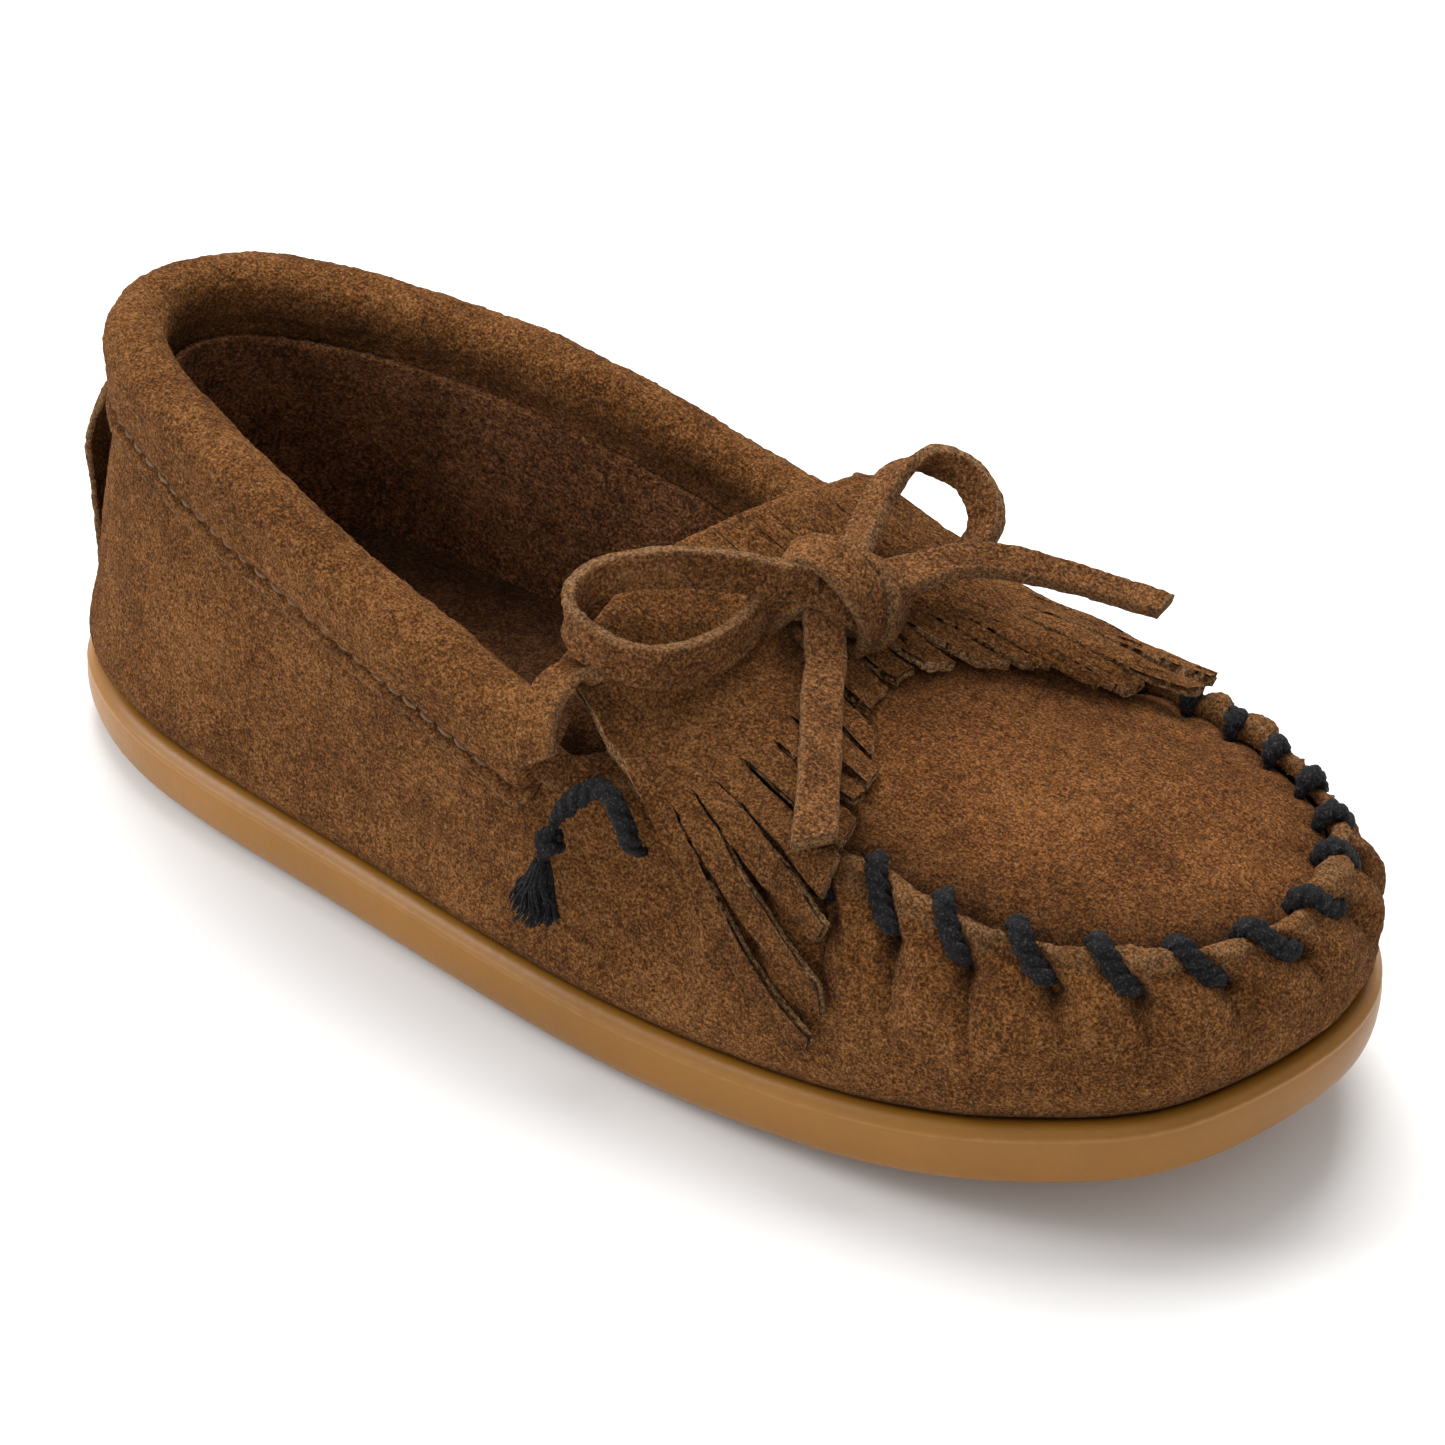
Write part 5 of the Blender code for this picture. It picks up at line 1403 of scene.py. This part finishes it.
thong("lace_tail_inner_thong", "tail_inner", "lace_tail_inner", ti, (0.1, -0.35, 1.0), (at(117.4, 3.8, 55.4), at(122.5, 9.5, 56.0)), seed=4, skew=(0, -0.25), twist=[0, 0.05, 0.0, 0.05], taper=0.32)


def lead(name, node, sign, seed):
    """Lace from the cuff's end over the seam and in under the kiltie, then up through its slot."""
    e0 = wall([5.0 if sign < 0 else -5.0 % 20], 1.0, 0.2)[0]
    start = wall([5.12 if sign < 0 else 20 - 5.12], 1.0, 0.5)[0] + np.array([1.2, 0, 0.6])
    pts = [start + np.array([-5.5, 0, 0.4]), start]
    for t, k in ((5.36, 0.90), (5.52, 0.66), (5.66, 0.44)):
        pts.append(plug_at([t], sign * k)[0] + np.array([0, 0, 1.25]))
    x, y = 112.6, sign * 5.2
    top = float(drape(np.array([x]), np.array([y]))[0])
    pts.append(np.array([x, y + sign * 1.2, top - 1.6]))
    pts.append(np.array([x + 0.8, y * 0.6, top + 0.8]))
    path = open_spline(pts, 90)
    up = np.array([(0.1, sign * 0.35, 1.0)] * 90)
    up[:30] = np.array([0.0, sign * 0.9, 0.8])
    return thong(name, "shoe", node, path, up, width=4.3, thick=1.3, seed=seed)


# the kiltie's rear corners turned down over the cuff's ends
for side_name, ear, across in (("outer", [(99.2, -25.0, 49.0), (97.6, -26.2, 49.9), (95.9, -28.6, 48.6), (95.9, -31.2, 45.9), (96.6, -32.8, 43.6), (97.4, -33.3, 41.6)], (0.95, 0.05, 0.30)),
                               ("inner", [(104.4, 23.2, 49.6), (102.6, 25.4, 50.4), (99.8, 28.4, 48.8), (98.0, 31.0, 45.8), (97.6, 32.5, 43.4), (98.2, 32.9, 41.4)], (0.95, -0.05, 0.30))):
    ear = open_spline(ear, 60)
    v, faces, pale = ribbon(ear, edge_hint(ear, across), 5.2, 1.6, seed=12, skew=(0, 0.25))
    ride_all(new_mesh(f"kiltie_ear_{side_name}_fold", v, faces, SUEDE, {"pale": 0.8 * pale}), "shoe", "suede")

lead("lace_lead_outer_thong", "lace_lead_outer", -1, 5)
lead("lace_lead_inner_thong", "lace_lead_inner", 1, 6)

# the bow's knot, laid out on axes that face the front outer side
FACE = np.array([0.494, -0.639, 0.590])
RIGHT = np.array([0.791, 0.612, 0.0])
RISE = np.cross(FACE, RIGHT)


def knot_path(rows, count=70):
    return open_spline([np.array(KNOT) + r * RIGHT + u * RISE + f * FACE for r, u, f in rows], count)


def knot_ribbon(name, rows, node=None, width=4.9, thick=1.9, seed=0, twist=0.0):
    path = knot_path(rows)
    out = path - (np.array(KNOT) - 1.5 * FACE)
    return thong(name, "shoe", node, path, out, width=width, thick=thick, seed=seed, twist=twist)


knot_ribbon("knot_wrap", [(-3.4, 1.2, -3.4), (-4.9, 3.6, -1.0), (-3.9, 5.0, 1.6), (-1.2, 4.9, 3.6), (1.8, 2.6, 4.5), (4.1, -0.6, 3.8), (5.2, -3.6, 1.6), (4.3, -5.3, -1.2), (2.2, -5.2, -3.4)],
            "lace_knot", seed=7)
knot_ribbon("knot_back_turn", [(0.5, 4.2, -3.0), (3.4, 4.4, -0.4), (6.2, 2.4, 1.2), (7.6, -1.0, 0.9), (7.0, -3.9, -0.6), (4.6, -4.9, -2.6)], width=4.3, seed=8)
knot_ribbon("knot_left_turn", [(3.0, 0.8, 1.2), (0.2, 1.6, 2.0), (-3.2, 0.6, 1.6), (-6.0, -1.2, 0.2), (-7.6, -2.6, -1.6)], width=4.4, seed=9)
knot_ribbon("knot_core", [(-3.4, 1.0, -2.4), (-0.6, 0.8, 0.6), (2.2, -0.6, 1.2), (4.2, -2.4, -1.6)], width=6.4, thick=4.2, seed=10)

# ------------------------------------------------------------------ stage: pale floor, soft light, camera



def stage():
    m, ns, ln, b = material("studio_floor")
    n = noise_node(ns, ln, ns.new("ShaderNodeTexCoord").outputs["Object"], 3.0, 2)
    ln.new(ramp(ns, ln, n, [(0.3, (0.86, 0.86, 0.86)), (0.7, (0.88, 0.88, 0.88))]), b.inputs["Base Color"])
    b.inputs["Roughness"].default_value = 0.9
    mesh = bpy.data.meshes.new("floor")
    mesh.from_pydata([(-3, -3, 0), (3, -3, 0), (3, 3, 0), (-3, 3, 0)], [], [(0, 1, 2, 3)])
    mesh.materials.append(m)
    floor = bpy.data.objects.new("floor", mesh)
    bpy.context.scene.collection.objects.link(floor)
    world = bpy.data.worlds.new("studio")
    world.use_nodes = True
    world.node_tree.nodes["Background"].inputs["Color"].default_value = (1.0, 1.0, 1.0, 1)
    world.node_tree.nodes["Background"].inputs["Strength"].default_value = 0.57
    bpy.context.scene.world = world
    for name, where, size, power, color in (("key", (-0.30, 0.50, 1.20), 0.9, 21.0, (1.0, 0.99, 0.97)),
                                            ("front", (0.45, -1.1, 0.55), 0.9, 1.6, (1.0, 0.99, 0.98)),
                                            ("left", (-0.9, -0.5, 0.7), 0.6, 8.4, (1.0, 1.0, 1.0))):
        data = bpy.data.lights.new(name, "AREA")
        data.shape = "SQUARE"
        data.size = size
        data.energy = power
        data.color = color
        lamp = bpy.data.objects.new(name, data)
        lamp.location = where
        lamp.rotation_euler = (Vector((0.02, 0, 0.02)) - Vector(where)).to_track_quat("-Z", "Y").to_euler()
        bpy.context.scene.collection.objects.link(lamp)
    az, el, roll = math.radians(37.7), math.radians(36.17), math.radians(-0.11)
    back = Vector((math.sin(az) * math.cos(el), -math.cos(az) * math.cos(el), math.sin(el)))
    right = Vector((math.cos(az), math.sin(az), 0))
    up = back.cross(right)
    right, up = right * math.cos(roll) + up * math.sin(roll), up * math.cos(roll) - right * math.sin(roll)
    target = (Vector((98.39, 0, 28.14)) - Vector((*WAIST_PAD, 0))) * MM
    data = bpy.data.cameras.new("camera")
    data.sensor_width = 36
    data.lens = 4530 / 1445 * 36
    data.clip_start = 0.01
    camera = bpy.data.objects.new("camera", data)
    spot = target + back * (549.8 * MM)
    camera.matrix_world = Matrix(((right.x, up.x, back.x, spot.x), (right.y, up.y, back.y, spot.y), (right.z, up.z, back.z, spot.z), (0, 0, 0, 1)))
    bpy.context.scene.collection.objects.link(camera)
    bpy.context.scene.camera = camera
    bpy.context.scene.view_settings.view_transform = "Standard"


stage()
